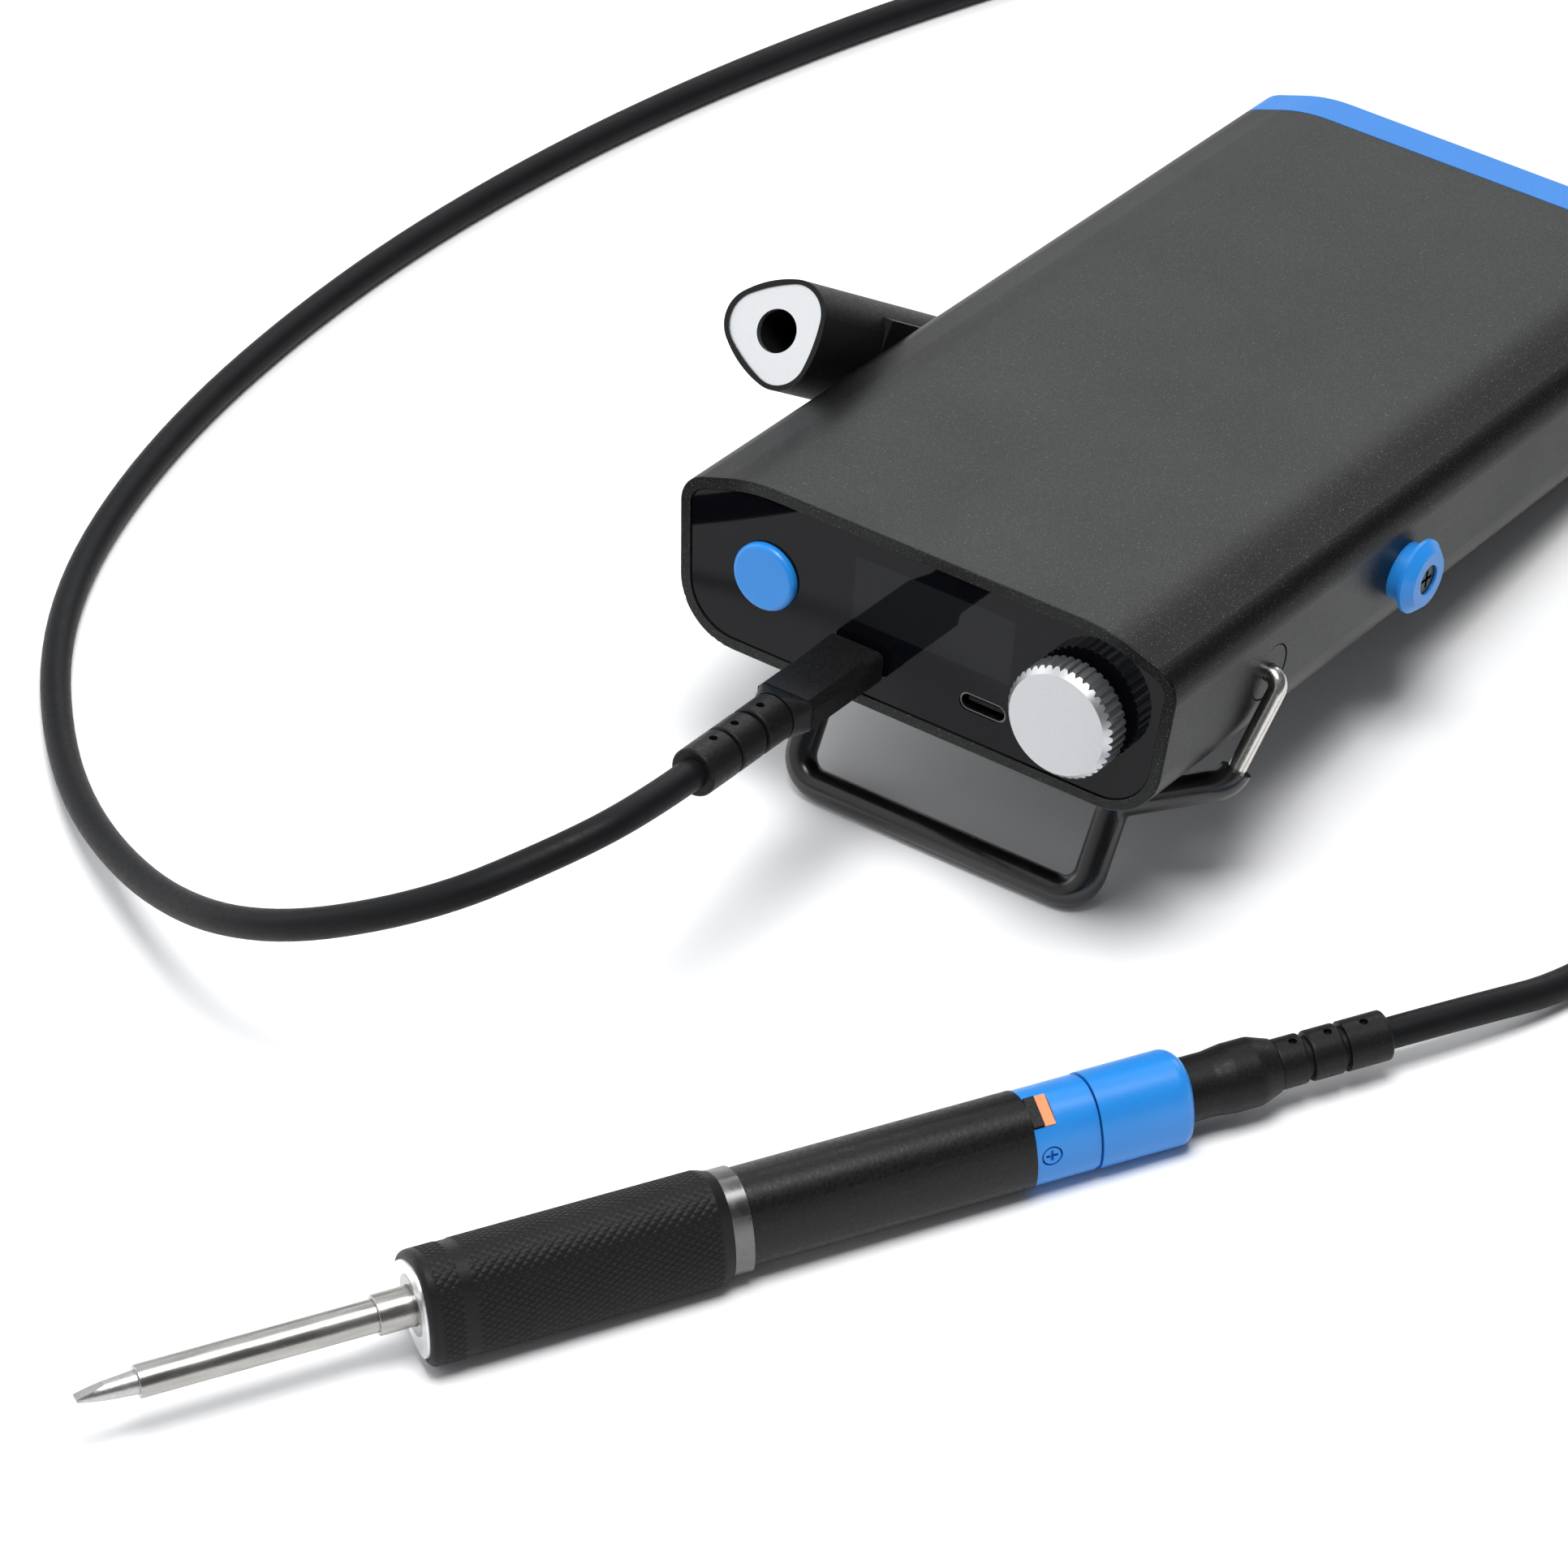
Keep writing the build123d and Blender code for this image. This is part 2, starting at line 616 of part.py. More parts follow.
with BuildPart() as encoder_pusher:
    with BuildSketch(across(PUSHER_END)):
        with Locations((KNOB_X, KNOB_Z)):
            Circle(SHAFT_RADIUS)
    extrude(amount=PUSHER_END - SHAFT_END - FIT_GAP / 2)
encoder_pusher.part.label = "encoder_pusher"
export_step(encoder_pusher.part, "parts/encoder_pusher.step")

with BuildPart() as encoder_shaft:
    with BuildSketch(across(SHAFT_END)):
        with Locations((KNOB_X, KNOB_Z)):
            Circle(SHAFT_RADIUS)
    extrude(amount=SHAFT_END - KNOB_FRONT - KNOB_CROWN)
encoder_shaft.part.label = "encoder_shaft"
export_step(encoder_shaft.part, "parts/encoder_shaft.step")

with BuildPart() as knob:
    with BuildSketch(across(KNOB_REAR)):
        with Locations((KNOB_X, KNOB_Z)):
            Circle(KNOB_RADIUS)
    extrude(amount=KNOB_REAR - KNOB_BEVEL_START)
    with BuildSketch(across(KNOB_BEVEL_START)):
        with Locations((KNOB_X, KNOB_Z)):
            Circle(KNOB_RADIUS)
    with BuildSketch(across(KNOB_FRONT)):
        with Locations((KNOB_X, KNOB_Z)):
            Circle(KNOB_FACE_RADIUS)
    loft()
    with BuildSketch(across(KNOB_REAR)):
        with Locations((KNOB_X, KNOB_Z)):
            with PolarLocations(KNOB_RADIUS, KNOB_TEETH):
                Rectangle(TOOTH_SIZE, TOOTH_SIZE, rotation=45)
    extrude(amount=KNOB_REAR - KNOB_FRONT, mode=Mode.SUBTRACT)
    with BuildSketch(across(KNOB_REAR)):
        with Locations((KNOB_X, KNOB_Z)):
            Circle(KNOB_POCKET_RADIUS)
    extrude(amount=KNOB_POCKET_DEPTH, mode=Mode.SUBTRACT)
    with BuildSketch(across(KNOB_REAR)):
        with Locations((KNOB_X, KNOB_Z)):
            Circle(SHAFT_RADIUS)
    extrude(amount=KNOB_REAR - KNOB_FRONT - KNOB_CROWN, mode=Mode.SUBTRACT)
knob.part.label = "knob"
export_step(knob.part, "parts/knob.step")

# ---------------------------------------------------------------- bail

with BuildPart() as pivot_bushings:
    for bush_side in (-1, 1):
        with BuildSketch(beside(bush_side * BUSH_START)):
            with Locations((PIVOT_Y, PIVOT_Z)):
                Circle(BUSH_RADIUS)
                Circle(WIRE_RADIUS + RUNNING_GAP, mode=Mode.SUBTRACT)
        extrude(amount=bush_side * (BUSH_INNER - BUSH_START))
        with BuildSketch(beside(bush_side * BUSH_INNER)):
            with Locations((PIVOT_Y, PIVOT_Z)):
                Circle(BUSH_FLANGE)
                Circle(WIRE_RADIUS + RUNNING_GAP, mode=Mode.SUBTRACT)
        extrude(amount=bush_side * BUSH_FLANGE_THICK)
    extrude(casing_section(across(2 * PIVOT_Y), SKIN_GAP), amount=2 * PIVOT_Y, mode=Mode.INTERSECT)
pivot_bushings.part.label = "pivot_bushings"
export_step(pivot_bushings.part, "parts/pivot_bushings.step")

pivot = deck * Location((0, PIVOT_Y, PIVOT_Z), (-BAIL_LEAN, 0, 0))
bail_plane = Plane(pivot * Plane.XZ.location * Rot(0, 0, 180))
bail_arm = [
    (BAIL_INNER_X, 0),
    (BAIL_OUTER_X, 0),
    (SHOULDER_X, SHOULDER_REACH),
    (FOOT_X, FOOT_REACH),
    (FOOT_X, BAR_REACH),
]
slant = (BAIL_OUTER_X - SHOULDER_X) / SHOULDER_REACH
sleeve_arm = [(BAIL_OUTER_X - slant * SLEEVE_START, SLEEVE_START)] + bail_arm[2:]

with BuildPart() as bail_wire:
    with BuildLine(bail_plane) as wire_line:
        across_points = bail_arm + [(-x, reach) for x, reach in reversed(bail_arm)]
        FilletPolyline(*across_points, radius=BAIL_BENDS + BAIL_BENDS[::-1])
    with BuildSketch(Plane(origin=wire_line.line @ 0, z_dir=wire_line.line % 0)):
        Circle(WIRE_RADIUS)
    sweep()
bail_wire.part.label = "bail_wire"
export_step(bail_wire.part, "parts/bail_wire.step")

with BuildPart() as bail_sleeve:
    with BuildLine(bail_plane) as sleeve_line:
        across_points = sleeve_arm + [(-x, reach) for x, reach in reversed(sleeve_arm)]
        FilletPolyline(*across_points, radius=BAIL_BENDS[1:] + BAIL_BENDS[:0:-1])
    with BuildSketch(Plane(origin=sleeve_line.line @ 0, z_dir=sleeve_line.line % 0)):
        Circle(SLEEVE_RADIUS)
        Circle(WIRE_RADIUS + SLEEVE_FIT, mode=Mode.SUBTRACT)
    sweep()
bail_sleeve.part.label = "bail_sleeve"
export_step(bail_sleeve.part, "parts/bail_sleeve.step")

# ---------------------------------------------------------------- side posts

for post_name, post_side in (("side_post_left", -1), ("side_post_right", 1)):
    with BuildPart() as side_post:
        with BuildSketch(beside(post_side * POST_INNER)):
            with Locations((POST_Y, POST_Z)):
                Circle(STEM_RADIUS)
        extrude(amount=post_side * (FLANGE_INNER - POST_INNER))
        with BuildSketch(beside(post_side * FLANGE_INNER)):
            with Locations((POST_Y, POST_Z)):
                Circle(FLANGE_RADIUS)
        extrude(amount=post_side * (POST_OUTER - FLANGE_INNER))
        outward = Axis(deck.position, beside(0).z_dir * post_side)
        rim = FLANGE_RADIUS - FLANGE_FACE_RADIUS
        chamfer(side_post.faces().sort_by(outward)[-1].edges(), rim)
        extrude(casing_section(across(2 * POST_Y)), amount=2 * POST_Y, mode=Mode.SUBTRACT)
        with BuildSketch(beside(post_side * POST_OUTER)):
            with Locations((POST_Y, POST_Z)):
                Circle(SCREW_SEAT_RADIUS)
        extrude(amount=-post_side * (POST_OUTER - SCREW_SEAT), mode=Mode.SUBTRACT)
        with BuildSketch(beside(post_side * POST_OUTER)):
            with Locations((POST_Y, POST_Z)):
                Circle(SCREW_HOLE)
        extrude(amount=-post_side * (POST_OUTER - POST_INNER), mode=Mode.SUBTRACT)
    side_post.part.label = post_name
    export_step(side_post.part, f"parts/{post_name}.step")

with BuildPart() as post_screws:
    for post_side in (-1, 1):
        with BuildSketch(beside(post_side * SCREW_SEAT)):
            with Locations((POST_Y, POST_Z)):
                Circle(SCREW_HEAD_RADIUS)
        extrude(amount=post_side * (SCREW_TOP - SCREW_SEAT))
        with BuildSketch(beside(post_side * SCREW_SEAT)):
            with Locations((POST_Y, POST_Z)):
                Circle(POST_SCREW_RADIUS)
        extrude(amount=-post_side * (SCREW_SEAT - SCREW_END))
        socket = beside(post_side * SCREW_TOP) * Pos(POST_Y, POST_Z)
        extrude(
            driver_cross(Plane(socket), *POST_CROSS),
            amount=-post_side * POST_CROSS_DEPTH,
            mode=Mode.SUBTRACT,
        )
post_screws.part.label = "post_screws"
export_step(post_screws.part, "parts/post_screws.step")

with BuildPart() as post_nuts:
    for post_side in (-1, 1):
        with BuildSketch(beside(post_side * NUT_PLACE)):
            with Locations((POST_Y, POST_Z)):
                RegularPolygon(NUT_FLAT_REACH, 6, major_radius=False)
                Circle(POST_SCREW_RADIUS, mode=Mode.SUBTRACT)
        extrude(amount=post_side * NUT_THICK)
post_nuts.part.label = "post_nuts"
export_step(post_nuts.part, "parts/post_nuts.step")

# ---------------------------------------------------------------- tip cap on the left post

cap_post = deck * Location((CAP_AXIS_X, POST_Y, POST_Z), (-CAP_RISE, 0, 0))
mouth = cap_post * Pos(0, -CAP_POST_AT, 0)


def cap_section(depth):
    """Plane across the tip cap, depth mm behind its mouth and facing out of it."""
    return Plane(mouth * Plane.XZ.offset(-depth).location)


with BuildPart() as tip_cap:
    extrude(lobed_section(cap_section(CAP_LENGTH), *CAP_SECTION, 180), amount=CAP_LENGTH)
    fillet(tip_cap.faces().sort_by(Axis(mouth.position, cap_section(0).z_dir))[0].edges(), NOSE_ROUND)
    with BuildSketch(cap_section(CAP_LENGTH - 1)):
        with Locations((CAP_FLAT / 2, 0)):
            Rectangle(CAP_FLAT, 2 * PAD_HALF)
    extrude(amount=CAP_LENGTH - 1 - PAD_START)
    extrude(
        lobed_section(cap_section(CAP_PLATE_DEPTH), *CAP_PLATE_SECTION, 180),
        amount=CAP_FLAT,
        mode=Mode.SUBTRACT,
    )
    with BuildSketch(cap_section(CAP_BORE_DEPTH)):
        Circle(CAP_BORE)
    extrude(amount=CAP_BORE_DEPTH, mode=Mode.SUBTRACT)
    rail = CAP_LENGTH - CAP_POST_AT + 1
    with BuildSketch(Plane(mouth * Plane.YZ.offset(CAP_FLAT - LIP_THICK).location)):
        with Locations((CAP_POST_AT, 0)):
            Circle(FLANGE_RADIUS + RUNNING_GAP)
        with Locations((CAP_POST_AT + rail / 2, 0)):
            Rectangle(rail, 2 * (FLANGE_RADIUS + RUNNING_GAP))
    extrude(amount=-(POST_OUTER - FLANGE_INNER + 2 * FIT_GAP), mode=Mode.SUBTRACT)
    with BuildSketch(Plane(mouth * Plane.YZ.offset(CAP_FLAT + 1).location)):
        with Locations((CAP_POST_AT, 0)):
            Circle(STEM_RADIUS + RUNNING_GAP)
        with Locations((CAP_POST_AT + rail / 2, 0)):
            Rectangle(rail, 2 * (STEM_RADIUS + RUNNING_GAP))
    extrude(amount=-(LIP_THICK + 2), mode=Mode.SUBTRACT)
tip_cap.part.label = "tip_cap"
export_step(tip_cap.part, "parts/tip_cap.step")

with BuildPart() as tip_cap_plate:
    plate_section = lobed_section(cap_section(CAP_PLATE_DEPTH), *CAP_PLATE_SECTION, 180)
    extrude(plate_section, amount=CAP_PLATE_DEPTH - CAP_PLATE_SUNK)
    with BuildSketch(cap_section(CAP_PLATE_DEPTH)):
        Circle(CAP_BORE)
    extrude(amount=CAP_PLATE_DEPTH, mode=Mode.SUBTRACT)
tip_cap_plate.part.label = "tip_cap_plate"
export_step(tip_cap_plate.part, "parts/tip_cap_plate.step")

# ---------------------------------------------------------------- iron

azimuth = math.radians(IRON_AZIMUTH)
pitch = math.radians(IRON_PITCH)
iron = Plane(
    origin=(IRON_X, IRON_Y, IRON_Z),
    x_dir=(-math.sin(azimuth), math.cos(azimuth), 0),
    z_dir=(
        math.cos(azimuth) * math.cos(pitch),
        math.sin(azimuth) * math.cos(pitch),
        -math.sin(pitch),
    ),
)
iron_axis = Axis(iron.origin, iron.z_dir)
blade = math.radians(BLADE_TURN)
blade_side = Plane(
    origin=iron.offset(TIP_END).origin,
    x_dir=iron.z_dir,
    z_dir=iron.x_dir * math.cos(blade) + iron.y_dir * math.sin(blade),
)


def iron_section(station, lobe, flat, corner):
    """Lobed cross-section of the iron at a station."""
    return lobed_section(iron.offset(station), lobe, flat, corner, IRON_TURN)


with BuildPart() as tip_bit:
    with BuildSketch(iron.offset(CONE_BASE)):
        Circle(CONE_RADIUS)
    with BuildSketch(iron.offset(TIP_END)):
        Circle(CONE_END_RADIUS)
    loft()
    with BuildSketch(blade_side):
        with BuildLine():
            Polyline(
                (0, BLADE_TIP),
                (BLADE_LENGTH, BLADE_ROOT),
                (CONE_BASE - TIP_END, 2 * CONE_RADIUS),
                (CONE_BASE - TIP_END, -2 * CONE_RADIUS),
                (BLADE_LENGTH, -BLADE_ROOT),
                (0, -BLADE_TIP),
                close=True,
            )
        make_face()
    extrude(amount=CONE_RADIUS, both=True, mode=Mode.INTERSECT)
tip_bit.part.label = "tip_bit"
export_step(tip_bit.part, "parts/tip_bit.step")

with BuildPart() as tip_tube:
    with BuildSketch(iron.offset(CONE_BASE)):
        Circle(TUBE_RADIUS)
    extrude(amount=TUBE_END - CONE_BASE)
    fillet(tip_tube.faces().sort_by(iron_axis)[0].edges(), TIP_EDGE)
tip_tube.part.label = "tip_tube"
export_step(tip_tube.part, "parts/tip_tube.step")

with BuildPart() as tip_shank:
    with BuildSketch(iron.offset(TUBE_END)):
        Circle(SHANK_RADIUS)
    extrude(amount=SHANK_END - TUBE_END)
    fillet(tip_shank.faces().sort_by(iron_axis)[0].edges(), TIP_EDGE)
tip_shank.part.label = "tip_shank"
export_step(tip_shank.part, "parts/tip_shank.step")

with BuildPart() as tip_jack:
    with BuildSketch(iron.offset(SHANK_END)):
        Circle(JACK_RADIUS)
    extrude(amount=JACK_END - SHANK_END)
tip_jack.part.label = "tip_jack"
export_step(tip_jack.part, "parts/tip_jack.step")

with BuildPart() as nose_plate:
    extrude(iron_section(PLATE_FRONT, *NOSE_SECTION), amount=PLATE_REAR - PLATE_FRONT)
    with BuildSketch(iron.offset(PLATE_FRONT)):
        Circle(NOSE_BUSH_RADIUS)
    extrude(amount=PLATE_REAR - PLATE_FRONT, mode=Mode.SUBTRACT)
nose_plate.part.label = "nose_plate"
export_step(nose_plate.part, "parts/nose_plate.step")

with BuildPart() as nose_bush:
    with BuildSketch(iron.offset(PLATE_FRONT - FIT_GAP)):
        Circle(NOSE_BUSH_RADIUS)
        Circle(SHANK_RADIUS + RUNNING_GAP, mode=Mode.SUBTRACT)
    extrude(amount=NOSE_BUSH_REAR - PLATE_FRONT)
nose_bush.part.label = "nose_bush"
export_step(nose_bush.part, "parts/nose_bush.step")

with BuildPart() as grip:
    extrude(iron_section(GRIP_FRONT, *GRIP_SECTION), amount=GRIP_REAR - GRIP_FRONT)
    fillet(grip.faces().sort_by(iron_axis)[0].edges(), NOSE_ROUND)
    add(iron_section(GRIP_REAR, *GRIP_SECTION))
    add(iron_section(GRIP_TAPER, *GRIP_END_SECTION))
    loft()
    extrude(iron_section(GRIP_FRONT, *NOSE_SEAT_SECTION), amount=PLATE_REAR - GRIP_FRONT, mode=Mode.SUBTRACT)
    extrude(iron_section(PLATE_REAR, *CORE_SEAT_SECTION), amount=RING_END, mode=Mode.SUBTRACT)
grip.part.label = "grip"
export_step(grip.part, "parts/grip.step")

with BuildPart() as grip_ring:
    extrude(iron_section(GRIP_TAPER, *GRIP_END_SECTION), amount=RING_END - GRIP_TAPER)
    extrude(iron_section(GRIP_TAPER, *CORE_SEAT_SECTION), amount=RING_END - GRIP_TAPER, mode=Mode.SUBTRACT)
grip_ring.part.label = "grip_ring"
export_step(grip_ring.part, "parts/grip_ring.step")

with BuildPart() as barrel:
    extrude(iron_section(PLATE_REAR, *CORE_SECTION), amount=RING_END - PLATE_REAR)
    extrude(iron_section(RING_END, *BARREL_SECTION), amount=BARREL_END - RING_END)
    with BuildSketch(iron.offset(PLATE_REAR)):
        Circle(IRON_HOLLOW)
    extrude(amount=BARREL_END - PLATE_REAR, mode=Mode.SUBTRACT)
barrel.part.label = "barrel"
export_step(barrel.part, "parts/barrel.step")

with BuildPart() as tip_socket:
    with BuildSketch(iron.offset(NOSE_BUSH_REAR)):
        Circle(IRON_HOLLOW - FIT_GAP / 2)
        Circle(SHANK_RADIUS + RUNNING_GAP, mode=Mode.SUBTRACT)
    extrude(amount=JACK_END + WALL / 2 - NOSE_BUSH_REAR)
tip_socket.part.label = "tip_socket"
export_step(tip_socket.part, "parts/tip_socket.step")

with BuildPart() as iron_board:
    with BuildSketch(iron.offset(JACK_END + 3)):
        Rectangle(IRON_BOARD_WIDTH, IRON_BOARD_THICK)
    extrude(amount=BARREL_END - JACK_END - 5)
iron_board.part.label = "iron_board"
export_step(iron_board.part, "parts/iron_board.step")


def iron_side(turn, reach):
    """Plane reach mm from the iron's axis, facing turn degrees round it; its X runs along the iron."""
    angle = math.radians(turn)
    outward = iron.x_dir * math.cos(angle) + iron.y_dir * math.sin(angle)
    return Plane(origin=iron.origin + outward * reach, x_dir=iron.z_dir, z_dir=outward)


with BuildPart() as collar:
    extrude(iron_section(BARREL_END, *COLLAR_SECTION), amount=COLLAR_LIP - BARREL_END)
    extrude(iron_section(COLLAR_LIP, *COLLAR_LIP_SECTION), amount=COLLAR_END - COLLAR_LIP)
    with BuildSketch(iron.offset(BARREL_END)):
        Circle(IRON_HOLLOW)
    extrude(amount=COLLAR_END - BARREL_END, mode=Mode.SUBTRACT)
    with BuildSketch(iron_side(TOP_LOBE, NOTCH_FLOOR)):
        with Locations(((BARREL_END + NOTCH_END) / 2, 0)):
            Rectangle(NOTCH_END - BARREL_END, NOTCH_WIDTH)
    extrude(amount=NOTCH_REACH - NOTCH_FLOOR, mode=Mode.SUBTRACT)
    with BuildSketch(iron_side(SCREW_SIDE, COLLAR_FLAT - COLLAR_SCREW_SEAT)):
        with Locations((COLLAR_SCREW_AT, 0)):
            Circle(COLLAR_SEAT_RADIUS)
    extrude(amount=NOTCH_REACH - NOTCH_FLOOR, mode=Mode.SUBTRACT)
collar.part.label = "collar"
export_step(collar.part, "parts/collar.step")

with BuildPart() as latch_tab:
    with BuildSketch(iron_side(TOP_LOBE, NOTCH_FLOOR)):
        with Locations(((BARREL_END + TAB_END) / 2, 0)):
            Rectangle(TAB_END - BARREL_END - FIT_GAP, NOTCH_WIDTH - 3 * FIT_GAP)
    extrude(amount=TAB_REACH - NOTCH_FLOOR)
latch_tab.part.label = "latch_tab"
export_step(latch_tab.part, "parts/latch_tab.step")

with BuildPart() as indicator:
    with BuildSketch(iron_side(TOP_LOBE, NOTCH_FLOOR)):
        with Locations(((TAB_END + NOTCH_END) / 2, 0)):
            Rectangle(NOTCH_END - TAB_END - FIT_GAP, NOTCH_WIDTH - FIT_GAP)
    extrude(amount=INDICATOR_REACH - NOTCH_FLOOR)
indicator.part.label = "indicator"
export_step(indicator.part, "parts/indicator.step")

with BuildPart() as collar_screw:
    with BuildSketch(iron_side(SCREW_SIDE, COLLAR_FLAT - COLLAR_SCREW_SEAT)):
        with Locations((COLLAR_SCREW_AT, 0)):
            Circle(COLLAR_SCREW_RADIUS)
    extrude(amount=COLLAR_SCREW_SEAT - COLLAR_SCREW_SUNK)
    socket = iron_side(SCREW_SIDE, COLLAR_FLAT - COLLAR_SCREW_SUNK) * Pos(COLLAR_SCREW_AT, 0)
    extrude(driver_cross(Plane(socket), *COLLAR_CROSS), amount=-COLLAR_CROSS_DEPTH, mode=Mode.SUBTRACT)
collar_screw.part.label = "collar_screw"
export_step(collar_screw.part, "parts/collar_screw.step")

with BuildPart() as tail_core:
    with BuildSketch(iron.offset(COLLAR_END)):
        Circle(TAIL_RADIUS)
    extrude(amount=TAIL_END - COLLAR_END)
    with BuildSketch(iron.offset(TAIL_END)):
        SlotOverall(PORT_WIDTH, PORT_HEIGHT)
    extrude(amount=-PORT_DEPTH, mode=Mode.SUBTRACT)
tail_core.part.label = "tail_core"
export_step(tail_core.part, "parts/tail_core.step")

with BuildPart() as iron_usb_socket:
    with BuildSketch(iron.offset(TAIL_END - PORT_DEPTH)):
        SlotOverall(PORT_WIDTH - FIT_GAP, PORT_HEIGHT - FIT_GAP)
    extrude(amount=PORT_DEPTH - 2 * FIT_GAP)
    with BuildSketch(iron.offset(TAIL_END - PORT_DEPTH + PORT_WALL)):
        SlotOverall(PORT_WIDTH - FIT_GAP - 2 * PORT_WALL, PORT_HEIGHT - FIT_GAP - 2 * PORT_WALL)
        Rectangle(TONGUE_WIDTH, TONGUE_THICK, mode=Mode.SUBTRACT)
    extrude(amount=PORT_DEPTH, mode=Mode.SUBTRACT)
iron_usb_socket.part.label = "iron_usb_socket"
export_step(iron_usb_socket.part, "parts/iron_usb_socket.step")

with BuildPart() as twist_ring:
    extrude(iron_section(TWIST_FRONT, *TWIST_SECTION), amount=TWIST_END - TWIST_FRONT)
    fillet(twist_ring.faces().sort_by(iron_axis)[-1].edges(), TWIST_ROUND)
    with BuildSketch(iron.offset(TWIST_FRONT)):
        Circle(TAIL_RADIUS + RUNNING_GAP)
    extrude(amount=TWIST_END - TWIST_FRONT, mode=Mode.SUBTRACT)
twist_ring.part.label = "twist_ring"
export_step(twist_ring.part, "parts/twist_ring.step")

# ---------------------------------------------------------------- plugs and strain reliefs


def at_left_port(depth):
    """Plane across the left port's axis, depth mm behind the casing's front edge."""
    return Plane(across(depth) * Pos(PORT_LEFT_X, PORT_Z))


def ribbed_relief(plane, ribs, holes):
    """Ribbed sleeve that grows along a plane's Z, with ribs ending and holes at these lengths."""
    with BuildPart() as relief:
        with BuildSketch(plane):
            Circle(RELIEF_CORE)
        extrude(amount=ribs[-1])
        rib_start = 0.0
        for rib_end in ribs:
            with BuildSketch(plane.offset(rib_start)):
                Circle(RELIEF_RADIUS)
            extrude(amount=rib_end - rib_start)
            rib_start = rib_end + RELIEF_GROOVE
        circles = relief.edges().filter_by(GeomType.CIRCLE)
        rims = [edge for edge in circles if edge.radius > RELIEF_CORE + FIT_GAP]
        fillet(rims[1:], RELIEF_ROUND)
        for hole in holes:
            middle = Plane(origin=plane.offset(hole).origin, x_dir=plane.z_dir, z_dir=plane.y_dir)
            for side in (-1, 1):
                with BuildSketch(middle.offset(side * RELIEF_CORE)):
                    Circle(HOLE_RADIUS)
                extrude(amount=side * RELIEF_CORE, mode=Mode.SUBTRACT)
    return relief.part


with BuildPart() as station_plug:
    with BuildSketch(at_left_port(PLUG_FRONT)):
        RectangleRounded(PLUG_WIDTH - 2 * PLUG_STEP_DEPTH, PLUG_HEIGHT - 2 * PLUG_STEP_DEPTH, PLUG_CHAMFER)
    extrude(amount=PLUG_FRONT - PLUG_STEP)
    with BuildSketch(at_left_port(PLUG_STEP)) as plug_body:
        Rectangle(PLUG_WIDTH, PLUG_HEIGHT)
        chamfer(plug_body.vertices(), PLUG_CHAMFER)
    extrude(amount=PLUG_STEP - PLUG_SHOULDER)
    with BuildSketch(at_left_port(PLUG_SHOULDER)):
        RectangleRounded(PLUG_WIDTH - 2 * PLUG_EDGE, PLUG_HEIGHT - PLUG_EDGE, PLUG_CHAMFER)
    with BuildSketch(at_left_port(PLUG_NECK)):
        RectangleRounded(NECK_SQUARE, NECK_SQUARE, NECK_SQUARE / 2 - FIT_GAP)
    loft()
station_plug.part.label = "station_plug"
export_step(station_plug.part, "parts/station_plug.step")

with BuildPart() as station_plug_shell:
    with BuildSketch(at_left_port(PLUG_FRONT)):
        SlotOverall(SHELL_WIDTH, SHELL_HEIGHT)
        SlotOverall(SHELL_WIDTH - 2 * SHELL_WALL, SHELL_HEIGHT - 2 * SHELL_WALL, mode=Mode.SUBTRACT)
    extrude(amount=-SHELL_LENGTH)
station_plug_shell.part.label = "station_plug_shell"
export_step(station_plug_shell.part, "parts/station_plug_shell.step")

station_plug_relief = ribbed_relief(at_left_port(PLUG_NECK), RELIEF_RIBS, RELIEF_HOLES)
station_plug_relief.label = "station_plug_relief"
export_step(station_plug_relief, "parts/station_plug_relief.step")

with BuildPart() as iron_plug:
    with BuildSketch(iron.offset(TWIST_END)):
        Circle(CONNECTOR_RADIUS)
    extrude(amount=CONNECTOR_END - TWIST_END)
    with BuildSketch(iron.offset(CONNECTOR_END)):
        Circle(CONNECTOR_RADIUS)
    with BuildSketch(iron.offset(BULGE_START)):
        Circle(BULGE_RADIUS)
    loft()
    with BuildSketch(iron.offset(BULGE_START)):
        Circle(BULGE_RADIUS)
    extrude(amount=BULGE_END - BULGE_START)
    with BuildSketch(iron.offset(BULGE_END)):
        Circle(BULGE_RADIUS)
    with BuildSketch(iron.offset(RELIEF_START)):
        Circle(NECK_RADIUS)
    loft()
    bulge_rims = iron_plug.edges().filter_by(GeomType.CIRCLE).sort_by(iron_axis)[1:-1]
    fillet(bulge_rims, BULGE_ROUND)
iron_plug.part.label = "iron_plug"
export_step(iron_plug.part, "parts/iron_plug.step")

iron_relief_plane = Plane(origin=iron.offset(RELIEF_START).origin, x_dir=iron.x_dir, z_dir=iron.z_dir)
iron_plug_relief = ribbed_relief(iron_relief_plane, IRON_RELIEF_RIBS, IRON_RELIEF_HOLES)
iron_plug_relief.label = "iron_plug_relief"
export_step(iron_plug_relief, "parts/iron_plug_relief.step")

# ---------------------------------------------------------------- cord

relief_exit = at_left_port(RELIEF_EXIT).origin
relief_exit_way = at_left_port(RELIEF_EXIT).z_dir
iron_exit = iron.offset(RELIEF_END).origin

